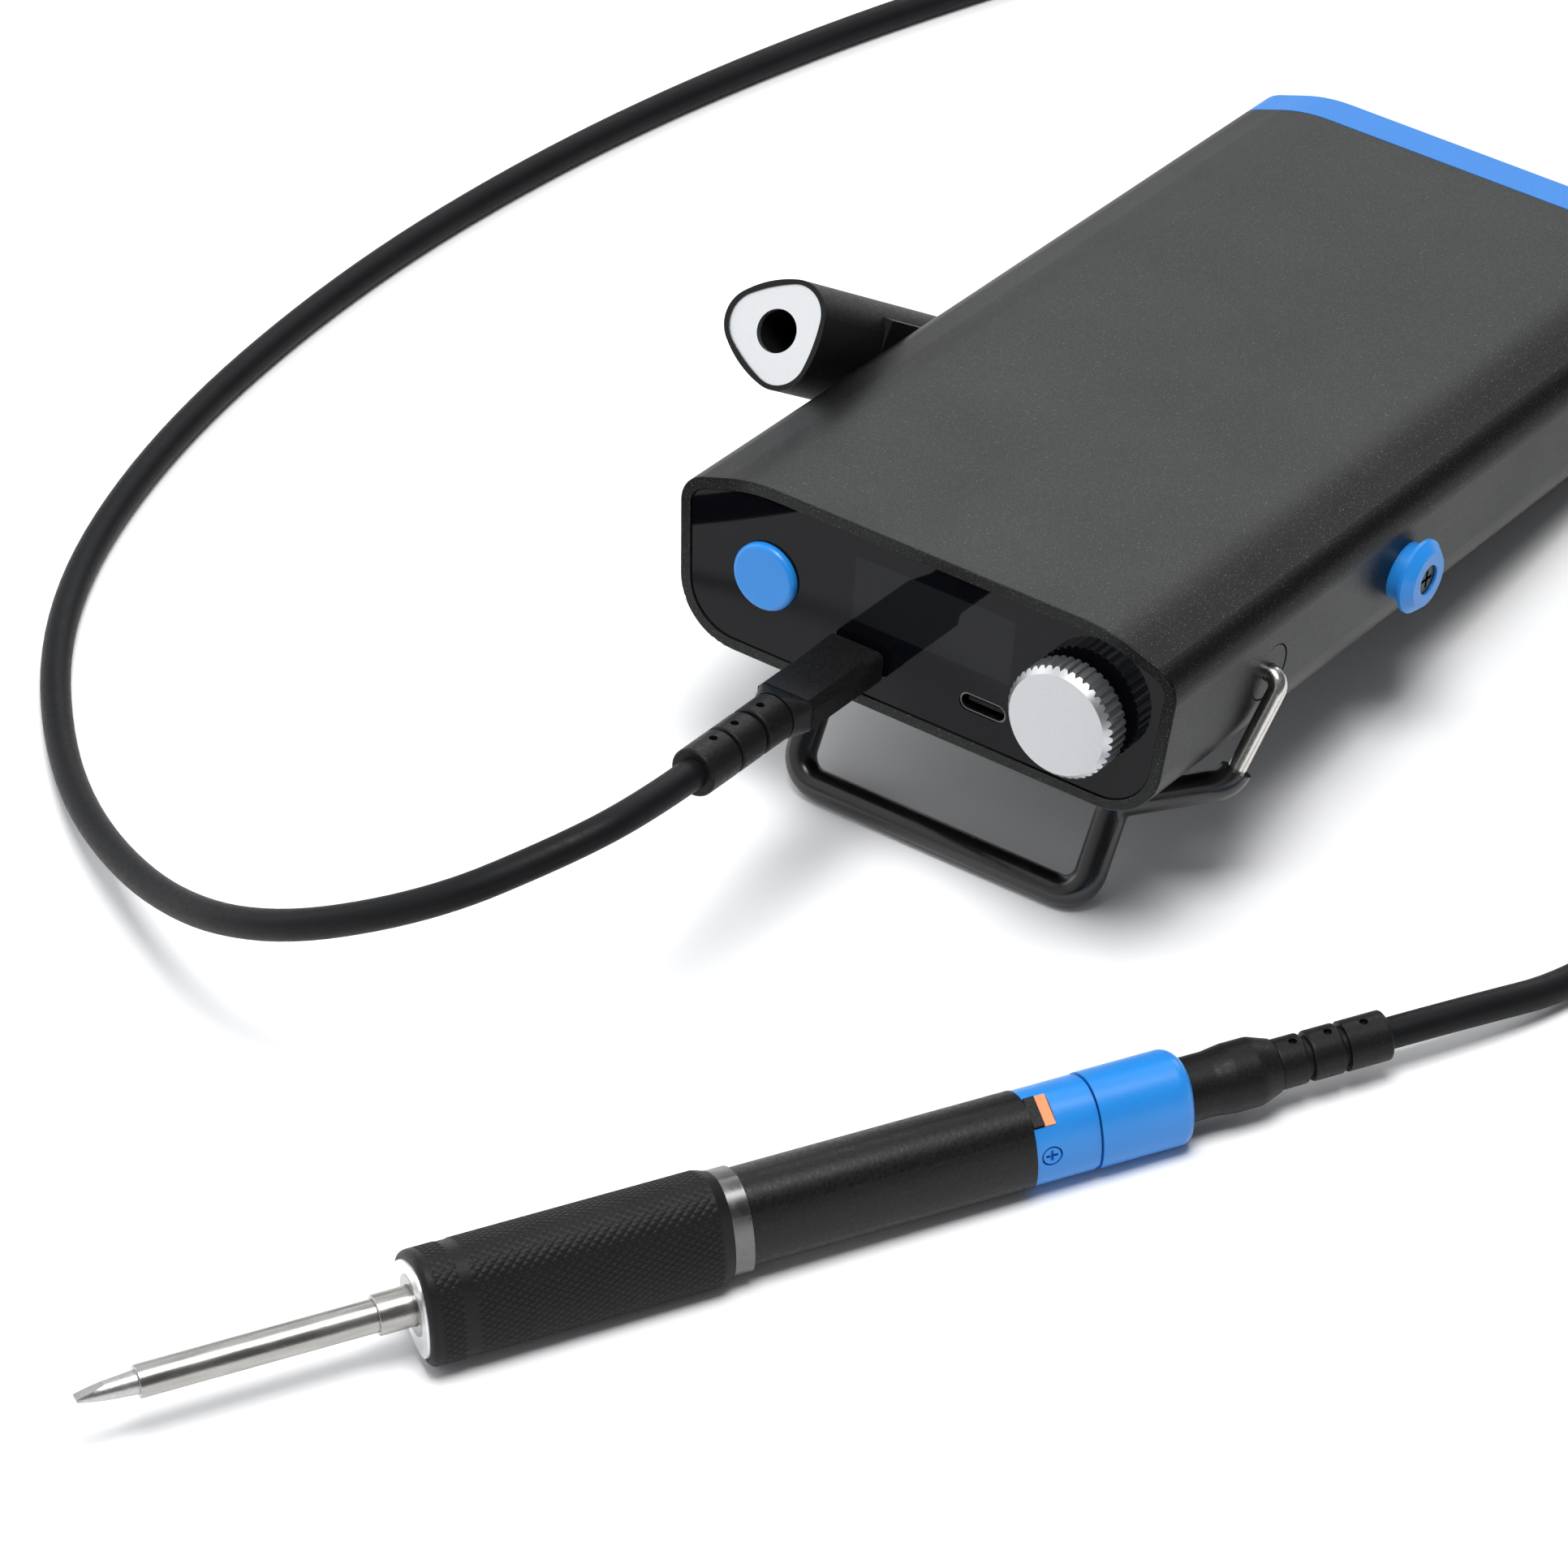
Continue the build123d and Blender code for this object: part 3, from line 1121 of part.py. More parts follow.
front_route = [
    (-16.0, -70.0, 49.0),
    (-31.0, -87.5, 42.3),
    (-60.0, -95.0, 28.5),
    (-95.0, -82.0, 11.5),
    (-130.0, -60.0, CORD_RADIUS),
    (-158.0, -27.0, CORD_RADIUS),
    (-171.0, 18.0, CORD_RADIUS),
    (-172.0, 72.0, CORD_RADIUS),
    (-163.0, 124.0, CORD_RADIUS),
    (-146.0, 174.0, CORD_RADIUS),
    (-122.0, 222.0, CORD_RADIUS),
    (-96.0, 262.0, CORD_RADIUS),
    (-56.0, 284.0, CORD_RADIUS),
    (-10.0, 286.0, CORD_RADIUS),
    (28.0, 280.0, CORD_RADIUS),
]
rear_route = [
    (73.2, 236.0, 7.8),
    (75.0, 216.0, 5.4),
    (85.0, 186.0, CORD_RADIUS),
    (99.0, 151.0, CORD_RADIUS),
    (110.0, 111.0, CORD_RADIUS),
    (112.0, 68.0, CORD_RADIUS),
    (105.5, 33.5, 2.9),
]
station_origin = Vector(STATION_X, STATION_Y, 0)
front_points = [relief_exit, relief_exit + relief_exit_way * EXIT_RUN]
front_points = front_points + [station_origin + Vector(*point) for point in front_route]
rear_points = [station_origin + Vector(*point) for point in rear_route]
rear_points = rear_points + [iron_exit + iron.z_dir * EXIT_RUN, iron_exit]


def bend_radii(points):
    """Radius at each inner point: as large as the shorter run beside it allows."""
    radii = []
    for before, corner, after in zip(points, points[1:], points[2:]):
        turn = math.radians((corner - before).get_angle(after - corner))
        shorter = min((corner - before).length, (after - corner).length)
        radii.append(ARC_SHARE * shorter / math.tan(turn / 2))
    return radii


for lead_name, lead_points in (("cord_front", front_points), ("cord_rear", rear_points)):
    with BuildPart() as cord_lead:
        with BuildLine() as lead_line:
            FilletPolyline(*lead_points, radius=bend_radii(lead_points))
        with BuildSketch(Plane(origin=lead_line.line @ 0, z_dir=lead_line.line % 0)):
            Circle(CORD_RADIUS)
        sweep()
    cord_lead.part.label = lead_name
    export_step(cord_lead.part, f"parts/{lead_name}.step")
    print(lead_name, "radii", [round(radius, 1) for radius in bend_radii(lead_points)])
    section = math.pi * CORD_RADIUS**2
    length = sum(edge.length for edge in lead_line.edges())
    print(lead_name, "length", round(length, 1))
    print(lead_name, "volume over section times length", round(cord_lead.part.volume / (section * length), 4))

coil_base = Plane.XY.offset(FIT_GAP / 2) * Pos(STATION_X + COIL_X, STATION_Y + COIL_Y)
with BuildPart() as cord_coil:
    with BuildSketch(Plane(coil_base)):
        Circle(COIL_TURN_RADIUS + COIL_HALF_WIDTH)
        Circle(COIL_TURN_RADIUS - COIL_HALF_WIDTH, mode=Mode.SUBTRACT)
    extrude(amount=COIL_HEIGHT - FIT_GAP)
    fillet(cord_coil.edges().filter_by(GeomType.CIRCLE), CORD_RADIUS - 2 * FIT_GAP)
cord_coil.part.label = "cord_coil"
export_step(cord_coil.part, "parts/cord_coil.step")
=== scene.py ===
import math

import bmesh
import bpy
from mathutils import Matrix, Vector
from mathutils.bvhtree import BVHTree


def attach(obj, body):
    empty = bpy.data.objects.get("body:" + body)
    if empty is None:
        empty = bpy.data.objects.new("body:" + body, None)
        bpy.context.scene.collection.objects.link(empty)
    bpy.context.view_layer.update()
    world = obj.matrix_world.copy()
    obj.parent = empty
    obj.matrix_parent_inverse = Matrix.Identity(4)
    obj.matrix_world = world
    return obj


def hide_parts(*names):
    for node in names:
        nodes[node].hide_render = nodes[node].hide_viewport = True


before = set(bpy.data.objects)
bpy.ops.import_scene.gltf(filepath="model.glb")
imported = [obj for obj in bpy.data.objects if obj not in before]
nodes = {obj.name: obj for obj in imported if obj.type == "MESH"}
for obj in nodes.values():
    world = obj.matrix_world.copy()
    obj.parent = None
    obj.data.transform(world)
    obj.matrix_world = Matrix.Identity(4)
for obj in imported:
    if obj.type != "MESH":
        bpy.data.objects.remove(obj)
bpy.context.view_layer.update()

MM = 0.001

# The casing leans back on its bail, and the iron lies on the floor in front of it
STATION_ORIGIN = Vector((-3.91, -2.83, 30.92)) * MM
STATION_LEAN = math.radians(-10)
STATION_MATRIX = Matrix.Translation(STATION_ORIGIN) @ Matrix.Rotation(STATION_LEAN, 4, "X")
IRON_ORIGIN = Vector((-4.397, -133.4, 9.957)) * MM
IRON_AXIS = Vector((0.55416, 0.83220, -0.01842)).normalized()
IRON_SIDE = Vector((-0.83232, 0.55428, 0)).normalized()
IRON_UP = IRON_AXIS.cross(IRON_SIDE)
IRON_MATRIX = Matrix((IRON_AXIS, IRON_SIDE, IRON_UP)).transposed().to_4x4()
IRON_MATRIX.translation = IRON_ORIGIN


def put(name, data):
    """A new object in the scene, made of the data."""
    made = bpy.data.objects.new(name, data)
    bpy.context.collection.objects.link(made)
    return made


def map_range(tree, value, start, end, first, last):
    """The value from start to end turned into first to last, clamped."""
    made = tree.nodes.new("ShaderNodeMapRange")
    made.inputs["From Min"].default_value = start
    made.inputs["From Max"].default_value = end
    made.inputs["To Min"].default_value = first
    made.inputs["To Max"].default_value = last
    tree.links.new(value, made.inputs["Value"])
    return made.outputs["Result"]


# ---------------------------------------------------------------- camera

CAMERA_PLACE = (0.51643, -0.75042, 0.81173)
CAMERA_RIGHT = Vector((0.82002, 0.57180, -0.02497))
CAMERA_UP = Vector((-0.36003, 0.54925, 0.75413))
CAMERA_BACK = Vector((0.44492, -0.60941, 0.65625))
SENSOR_WIDTH = 36
FOCAL_LENGTH = 172.18
NEAREST_SEEN = 0.05
FARTHEST_SEEN = 20

camera = put("camera", bpy.data.cameras.new("camera"))
camera.data.sensor_width = SENSOR_WIDTH
camera.data.lens = FOCAL_LENGTH
camera.data.clip_start = NEAREST_SEEN
camera.data.clip_end = FARTHEST_SEEN
view = Matrix((CAMERA_RIGHT, CAMERA_UP, CAMERA_BACK)).transposed().to_4x4()
view.translation = CAMERA_PLACE
camera.matrix_world = view
bpy.context.scene.camera = camera
bpy.context.scene.view_settings.view_transform = "Standard"


# ---------------------------------------------------------------- light

SKY_COLOUR = (0.96, 0.975, 1, 1)


def softbox(name, place, target, width, height, power):
    """A rectangular light at the place, turned towards the target."""
    light = bpy.data.lights.new(name, "AREA")
    light.shape = "RECTANGLE"
    light.size = width
    light.size_y = height
    light.energy = power
    lamp = put(name, light)
    lamp.location = place
    lamp.rotation_euler = (Vector(target) - Vector(place)).to_track_quat("-Z", "Y").to_euler()


softbox("key_softbox", (0.17, -0.17, 1.2), target=(0, 0, 0), width=0.5, height=0.5, power=14)
softbox("rear_softbox", (-0.35, 1.15, 0.75), target=(0, 0.05, 0), width=1.1, height=0.5, power=5)
softbox("left_softbox", (-1.15, -0.2, 0.55), target=(0, 0, 0), width=0.5, height=0.8, power=2)

world = bpy.data.worlds.new("studio")
bpy.context.scene.world = world
world.use_nodes = True
sky = world.node_tree
sky_direction = sky.nodes.new("ShaderNodeTexCoord").outputs["Generated"]


def sky_fade(heading, start, end, away, towards):
    """Brightness that turns from away to towards as the sky's direction turns to the heading."""
    dot = sky.nodes.new("ShaderNodeVectorMath")
    dot.operation = "DOT_PRODUCT"
    dot.inputs[1].default_value = heading
    sky.links.new(sky_direction, dot.inputs[0])
    return map_range(sky, dot.outputs["Value"], start, end, away, towards)


# The room is brightest overhead and to the left, and dark on the camera's side
overhead = sky_fade((0, 0, 1), start=-0.05, end=0.75, away=0.62, towards=0.84)
camera_side = sky_fade((1, -0.1, 0), start=-0.35, end=0.35, away=1.2, towards=0.2)
strength = sky.nodes.new("ShaderNodeMath")
strength.operation = "MULTIPLY"
sky.links.new(overhead, strength.inputs[0])
sky.links.new(camera_side, strength.inputs[1])
sky.links.new(strength.outputs[0], sky.nodes["Background"].inputs["Strength"])
sky.nodes["Background"].inputs["Color"].default_value = SKY_COLOUR


# ---------------------------------------------------------------- material helpers

PLAIN_SHINE = 0.5
NOISE_LOW = 0.3
NOISE_HIGH = 0.7
NOISE_ROUGHNESS = 0.55
MIX_FIRST = 6
MIX_SECOND = 7
MIX_RESULT = 2


class Shader:
    """One node material, with short calls for the nodes that it uses."""

    def __init__(self, name, colour, roughness, metallic=0.0, shine=PLAIN_SHINE):
        self.material = bpy.data.materials.new(name)
        self.material.use_nodes = True
        self.tree = self.material.node_tree
        self.surface = self.tree.nodes["Principled BSDF"]
        self.surface.inputs["Base Color"].default_value = (*colour, 1)
        self.surface.inputs["Roughness"].default_value = roughness
        self.surface.inputs["Metallic"].default_value = metallic
        self.surface.inputs["Specular IOR Level"].default_value = shine

    def node(self, kind, **settings):
        """A new node with the settings."""
        made = self.tree.nodes.new(kind)
        for key, value in settings.items():
            setattr(made, key, value)
        return made

    def link(self, out, into):
        """Joins an output to an input."""
        self.tree.links.new(out, into)

    def place(self, matrix=None):
        """Object coordinates in metres, in the frame that the matrix gives."""
        coords = self.node("ShaderNodeTexCoord").outputs["Object"]
        if matrix is None:
            return coords
        mapping = self.node("ShaderNodeMapping", vector_type="TEXTURE")
        mapping.inputs["Location"].default_value = matrix.translation
        mapping.inputs["Rotation"].default_value = matrix.to_euler("XYZ")
        self.link(coords, mapping.inputs["Vector"])
        return mapping.outputs["Vector"]

    def across_and_up(self, matrix):
        """The x and z coordinates in the frame that the matrix gives."""
        parts = self.node("ShaderNodeSeparateXYZ")
        self.link(self.place(matrix), parts.inputs[0])
        return parts.outputs["X"], parts.outputs["Z"]

    def scaled(self, coords, scale):
        """Coordinates multiplied by the scale, which stretches the pattern where it is small."""
        mapping = self.node("ShaderNodeMapping")
        mapping.inputs["Scale"].default_value = scale
        self.link(coords, mapping.inputs["Vector"])
        return mapping.outputs["Vector"]

    def noise(self, coords, size, detail):
        """Noise whose blotches are about size metres across."""
        made = self.node("ShaderNodeTexNoise")
        made.inputs["Scale"].default_value = 1 / size
        made.inputs["Detail"].default_value = detail
        made.inputs["Roughness"].default_value = NOISE_ROUGHNESS
        self.link(coords, made.inputs["Vector"])
        return made.outputs["Fac"]

    def cells(self, coords, size):
        """Distance to the middle of cells that are about size metres across."""
        made = self.node("ShaderNodeTexVoronoi")
        made.inputs["Scale"].default_value = 1 / size
        self.link(coords, made.inputs["Vector"])
        return made.outputs["Distance"]

    def maths(self, operation, *values):
        """The operation on the value sockets."""
        made = self.node("ShaderNodeMath", operation=operation)
        for value, into in zip(values, made.inputs):
            self.link(value, into)
        return made.outputs[0]

    def ramp(self, value, start, end, first=0, last=1):
        """The value from start to end turned into first to last, clamped."""
        return map_range(self.tree, value, start, end, first, last)

    def spread(self, noise, first=0, last=1):
        """Noise's usual span turned into first to last."""
        return self.ramp(noise, NOISE_LOW, NOISE_HIGH, first, last)

    def band(self, value, start, end, fade):
        """1 from start to end and 0 outside, with the fade just inside each edge."""
        rise = self.ramp(value, start, start + fade)
        fall = self.ramp(value, end - fade, end, 1, 0)
        return self.maths("MULTIPLY", rise, fall)

    def blend(self, factor, first, second):
        """The first colour where the factor is 0, the second where it is 1. Either may be a socket."""
        made = self.node("ShaderNodeMix", data_type="RGBA")
        self.link(factor, made.inputs["Factor"])
        for into, value in ((made.inputs[MIX_FIRST], first), (made.inputs[MIX_SECOND], second)):
            if isinstance(value, tuple):
                into.default_value = (*value, 1)
            else:
                self.link(value, into)
        return made.outputs[MIX_RESULT]

    def colour(self, value):
        """Takes the surface's colour from the socket."""
        self.link(value, self.surface.inputs["Base Color"])

    def roughness(self, value):
        """Takes the surface's roughness from the socket."""
        self.link(value, self.surface.inputs["Roughness"])

    def bump(self, height, distance, strength):
        """Raises the surface by distance metres where the height is 1."""
        made = self.node("ShaderNodeBump")
        made.inputs["Strength"].default_value = strength
        made.inputs["Distance"].default_value = distance
        self.link(height, made.inputs["Height"])
        self.link(made.outputs["Normal"], self.surface.inputs["Normal"])


def dress(material, *names):
    """Gives CAD nodes a material."""
    for name in names:
        mesh = nodes[name].data
        mesh.materials.clear()
        mesh.materials.append(material)


# ---------------------------------------------------------------- casing and panel

CASING_GRAIN = 0.22 * MM
SPECK_SIZE = 0.2 * MM
SPECK_STARTS = 0.66
SPECK_FULL = 0.8
CASING_BLOTCH = 30 * MM
CASING_DARK = (0.0165, 0.0172, 0.0167)
CASING_LIGHT = (0.028, 0.029, 0.0283)
# The colour of the painted shade on the casing's rounded shoulders
CASING_PAINTED_SHADE = (0.0085, 0.0088, 0.0088)
CASING_SPECK = (0.12, 0.12, 0.117)
# The painted shade deepens outward across this span, and fades in from the bottom of the side to its top
PAINTED_SHADE_STARTS = 33.5 * MM
PAINTED_SHADE_DARKEST = 37.5 * MM
PAINTED_SHADE_BOTTOM = 8 * MM
PAINTED_SHADE_TOP = 24 * MM

WINDOW_LEFT = -13.4 * MM
WINDOW_RIGHT = 17.2 * MM
WINDOW_BOTTOM = 14.7 * MM
WINDOW_TOP = 26.7 * MM
WINDOW_FADE = 0.3 * MM
PANEL_SMEAR = 20 * MM


def casing_material():
    """Anodised aluminium: a fine grain with a few bright specks, and painted shade on the rounded
    shoulders.
    """
    shader = Shader("casing_anodised", (0.030, 0.030, 0.030), 0.42, metallic=0.75, shine=0.2)
    coords = shader.place()
    grain = shader.noise(coords, CASING_GRAIN, detail=1.5)
    blotches = shader.noise(coords, CASING_BLOTCH, detail=3)
    specks = shader.ramp(shader.noise(coords, SPECK_SIZE, detail=0.5), SPECK_STARTS, SPECK_FULL)
    across, height = shader.across_and_up(STATION_MATRIX)
    # Painted shade: the casing is darkened out on its rounded shoulders, fading in up the side
    shade_outward = shader.ramp(shader.maths("ABSOLUTE", across), PAINTED_SHADE_STARTS, PAINTED_SHADE_DARKEST)
    shoulder_shade = shader.maths("MULTIPLY", shade_outward, shader.ramp(height, PAINTED_SHADE_BOTTOM, PAINTED_SHADE_TOP))
    tone = shader.blend(shader.spread(grain), CASING_DARK, CASING_LIGHT)
    shaded = shader.blend(shoulder_shade, tone, CASING_PAINTED_SHADE)
    shader.colour(shader.blend(specks, shaded, CASING_SPECK))
    shader.roughness(shader.spread(blotches, 0.38, 0.44))
    shader.bump(grain, distance=0.02 * MM, strength=0.5)
    return shader.material


def panel_material():
    """Gloss black, a little lighter over the display that is switched off behind it."""
    shader = Shader("panel_gloss", (0.003, 0.0032, 0.0045), 0.02, shine=0.17)
    across, height = shader.across_and_up(STATION_MATRIX)
    side = shader.band(across, WINDOW_LEFT, WINDOW_RIGHT, WINDOW_FADE)
    tall = shader.band(height, WINDOW_BOTTOM, WINDOW_TOP, WINDOW_FADE)
    window = shader.maths("MULTIPLY", side, tall)
    shader.colour(shader.blend(window, (0.0025, 0.0027, 0.004), (0.0095, 0.0100, 0.0115)))
    shader.roughness(shader.spread(shader.noise(shader.place(), PANEL_SMEAR, detail=3), 0.02, 0.035))
    return shader.material


# ---------------------------------------------------------------- plastics

PLASTIC_BLOTCH = 12 * MM
PLASTIC_SMOOTHER = 0.05
PLASTIC_ROUGHER = 0.06
LIGHT_GRAIN = 0.45
PIT_MIDDLE = 0.1
PIT_RIM = 0.6
PIT_SMOOTHER = 0.06
PIT_ROUGHER = 0.08


def satin_plastic(name, low, high, roughness, grain=0.4 * MM, depth=0.01 * MM, shine=PLAIN_SHINE):
    """Moulded plastic or rubber with broad blotches between two colours and a fine grain."""
    shader = Shader(name, low, roughness, shine=shine)
    coords = shader.place()
    fine = shader.noise(coords, grain, detail=2)
    shader.colour(shader.blend(shader.spread(shader.noise(coords, PLASTIC_BLOTCH, detail=3)), low, high))
    shader.roughness(shader.spread(fine, roughness - PLASTIC_SMOOTHER, roughness + PLASTIC_ROUGHER))
    shader.bump(fine, depth, strength=0.5)
    return shader.material


def speckled_plastic(name, dark, light, roughness, grain, depth, shine):
    """Moulded black plastic with a fine spark-eroded grain that catches light in specks."""
    shader = Shader(name, dark, roughness, shine=shine)
    coords = shader.place()
    fine = shader.noise(coords, grain, detail=2)
    pits = shader.cells(coords, grain * 2)
    shader.colour(shader.blend(shader.ramp(fine, LIGHT_GRAIN, NOISE_HIGH), dark, light))
    smoothest = roughness - PIT_SMOOTHER
    roughest = roughness + PIT_ROUGHER
    shader.roughness(shader.ramp(pits, PIT_MIDDLE, PIT_RIM, smoothest, roughest))
    shader.bump(shader.maths("ADD", fine, pits), depth, strength=0.8)
    return shader.material


BLUE = satin_plastic(
    "blue_plastic", low=(0.014, 0.225, 0.66), high=(0.017, 0.235, 0.69), roughness=0.34,
)
CAP_BLUE = satin_plastic(
    "blue_cap_plastic", low=(0.009, 0.160, 0.51), high=(0.011, 0.170, 0.54), roughness=0.42, shine=0.3,
)
BLACK = speckled_plastic(
    "black_plastic", dark=(0.0045, 0.0045, 0.005), light=(0.008, 0.008, 0.0085), roughness=0.50,
    grain=0.3 * MM, depth=0.02 * MM, shine=0.25,
)
PLUG_BLACK = speckled_plastic(
    "plug_plastic", dark=(0.0045, 0.0045, 0.005), light=(0.010, 0.010, 0.0105), roughness=0.42,
    grain=0.3 * MM, depth=0.015 * MM, shine=0.20,
)
BARREL = speckled_plastic(
    "barrel_grain", dark=(0.004, 0.004, 0.0045), light=(0.009, 0.009, 0.0095), roughness=0.38,
    grain=0.4 * MM, depth=0.02 * MM, shine=0.26,
)
CORD_BLACK = satin_plastic(
    "cord_rubber", low=(0.0045, 0.0047, 0.0055), high=(0.0065, 0.0068, 0.0075), roughness=0.50,
    grain=0.8 * MM, depth=0.02 * MM, shine=0.15,
)
SLEEVE = satin_plastic(
    "bail_sleeve_rubber", low=(0.0045, 0.0045, 0.005), high=(0.0055, 0.0055, 0.006), roughness=0.22,
    grain=4 * MM, depth=0.001 * MM, shine=0.6,
)
GRIP = satin_plastic(
    "grip_silicone", low=(0.006, 0.006, 0.0065), high=(0.009, 0.009, 0.0095), roughness=0.52,
    grain=0.6 * MM, depth=0.008 * MM, shine=0.2,
)
ORANGE = satin_plastic(
    "orange_plastic", low=(0.80, 0.20, 0.06), high=(0.95, 0.30, 0.11), roughness=0.5, depth=0.06 * MM,
)
BOARD = satin_plastic("board_green", low=(0.01, 0.06, 0.03), high=(0.015, 0.09, 0.05), roughness=0.4)
CELL = satin_plastic("cell_wrap", low=(0.03, 0.16, 0.22), high=(0.04, 0.2, 0.27), roughness=0.35)


# ---------------------------------------------------------------- metals

METAL_DEPTH = 0.006 * MM
FINE_GRAIN = 0.4 * MM
EVEN = (1, 1, 1)
LENGTHWISE = (0.15, 1, 1)


def metal(name, low, high, roughness, spread=0.08, grain=2 * MM, streak=EVEN, matrix=None):
    """Bare metal with a grain, drawn out along the axis where streak is small."""
    shader = Shader(name, low, roughness, metallic=1.0)
    fine = shader.noise(shader.scaled(shader.place(matrix), streak), grain, detail=4)
    shader.colour(shader.blend(shader.spread(fine), low, high))
    shader.roughness(shader.spread(fine, roughness - spread, roughness + spread))
    shader.bump(fine, METAL_DEPTH, strength=0.3)
    return shader.material


PLATE = metal(
    "satin_plate", low=(0.84, 0.85, 0.86), high=(0.88, 0.89, 0.90), roughness=0.42, spread=0.02,
    grain=FINE_GRAIN,
)
TIP = metal(
    "tip_steel", low=(0.34, 0.33, 0.31), high=(0.44, 0.43, 0.41), roughness=0.27, spread=0.05,
    grain=1.2 * MM, streak=LENGTHWISE, matrix=IRON_MATRIX,
)
CONE = metal(
    "tip_plating", low=(0.42, 0.42, 0.42), high=(0.52, 0.52, 0.52), roughness=0.36, spread=0.03,
    grain=0.5 * MM,
)
NICKEL = metal(
    "bail_nickel", low=(0.50, 0.485, 0.455), high=(0.68, 0.665, 0.63), roughness=0.22, spread=0.04,
    grain=FINE_GRAIN,
)
KNOB = metal(
    "knob_aluminium", low=(0.52, 0.53, 0.54), high=(0.56, 0.57, 0.58), roughness=0.36, spread=0.02,
    grain=FINE_GRAIN,
)
RING = metal("ring_titanium", low=(0.13, 0.13, 0.13), high=(0.17, 0.168, 0.165), roughness=0.32)
STEEL = metal("screw_steel", low=(0.30, 0.30, 0.30), high=(0.42, 0.42, 0.42), roughness=0.3)
PORT_STEEL = metal("port_steel", low=(0.10, 0.10, 0.10), high=(0.14, 0.14, 0.14), roughness=0.3)
DARK_STEEL = metal(
    "black_oxide_steel", low=(0.02, 0.02, 0.021), high=(0.035, 0.035, 0.036), roughness=0.34,
)


# ---------------------------------------------------------------- the CAD nodes' materials

dress(casing_material(), "casing_sleeve", "pivot_bushings")
dress(panel_material(), "front_panel")
dress(BLUE, "power_button", "side_post_left", "side_post_right", "collar", "twist_ring", "collar_screw")
dress(CAP_BLUE, "rear_cap")
dress(DARK_STEEL, "rear_cap_screws", "post_screws")
dress(STEEL, "chassis_tray", "board_screws", "post_nuts", "encoder_nut", "encoder_shaft", "cell_tabs")
dress(STEEL, "iron_usb_socket", "station_plug_shell")
dress(PORT_STEEL, "usb_shells")
dress(BOARD, "main_board", "front_board", "iron_board")
dress(BLACK, "display_module", "usb_tongues", "power_switch", "encoder_body", "encoder_pusher")
dress(BLACK, "switch_plunger", "cell_frames", "tip_socket", "tip_jack", "latch_tab", "tail_core", "tip_cap")
dress(CELL, "battery_cells")
dress(NICKEL, "bail_wire")
dress(SLEEVE, "bail_sleeve")
dress(PLATE, "tip_cap_plate", "nose_plate")
dress(TIP, "tip_tube", "tip_shank", "nose_bush")
dress(CONE, "tip_bit")
dress(KNOB, "knob")
dress(RING, "grip_ring")
dress(BARREL, "barrel")
dress(ORANGE, "indicator")
dress(PLUG_BLACK, "station_plug", "station_plug_relief", "iron_plug", "iron_plug_relief")


# ---------------------------------------------------------------- floor

FLOOR_HALF = 6

sheet = bmesh.new()
corners = [(x * FLOOR_HALF, y * FLOOR_HALF, 0) for x, y in ((-1, -1), (1, -1), (1, 1), (-1, 1))]
sheet.faces.new([sheet.verts.new(corner) for corner in corners])
floor_mesh = bpy.data.meshes.new("floor")
sheet.to_mesh(floor_mesh)
sheet.free()
floor_mesh.materials.append(Shader("floor_white", (0.93, 0.93, 0.935), 0.7, shine=0.2).material)
floor = put("floor", floor_mesh)


# ---------------------------------------------------------------- knurled grip

# Places along the iron's axis, from its origin. The ends lie just inside the CAD grip's, so that every
# cast meets its skin, and the seat is the step in the bore behind the nose plate.
GRIP_FRONT = -1.79 * MM
GRIP_SEAT = -0.6 * MM
GRIP_REAR = 47.38 * MM
KNURL_START = 0.1 * MM
KNURL_END = 45.3 * MM
BAND_START = 3.9 * MM
BAND_END = 6.1 * MM

KNURL_AROUND = 44
KNURL_PITCH = 1.8 * MM
KNURL_DEPTH = 0.2 * MM
GROOVE_FLOOR = 0.05
GROOVE_SLOPE = 0.5
BAND_DEPTH = 0.12 * MM
STEPS_PER_GROOVE = 8
STEPS_AROUND = STEPS_PER_GROOVE * KNURL_AROUND
ROUNDING_LENGTH = 1.2 * MM
ROUNDING_SHARES = (0, 0.04, 0.12, 0.24, 0.4, 0.6, 0.8, 1)
SEAT_EDGE = 0.05 * MM
CAST_REACH = 20 * MM


def sunk(along, angle):
    """How far the knurl's grooves, or the smooth band, lie under the grip's skin."""
    if BAND_START < along < BAND_END:
        return BAND_DEPTH
    if not KNURL_START < along < KNURL_END:
        return 0.0
    run = along * math.pi / KNURL_PITCH
    turn = angle * KNURL_AROUND / 2
    off_line = min(abs(math.sin(run + turn)), abs(math.sin(run - turn)))
    rise = (off_line - GROOVE_FLOOR) / GROOVE_SLOPE
    return KNURL_DEPTH * (1 - max(0.0, min(1.0, rise)))


def grip_rows():
    """Places along the axis of the outer skin's rings, closer together on the front's rounding."""
    rows = [GRIP_FRONT + share * ROUNDING_LENGTH for share in ROUNDING_SHARES]
    spacing = KNURL_PITCH / STEPS_PER_GROOVE
    while rows[-1] + spacing < GRIP_REAR:
        rows.append(rows[-1] + spacing)
    return rows + [GRIP_REAR]


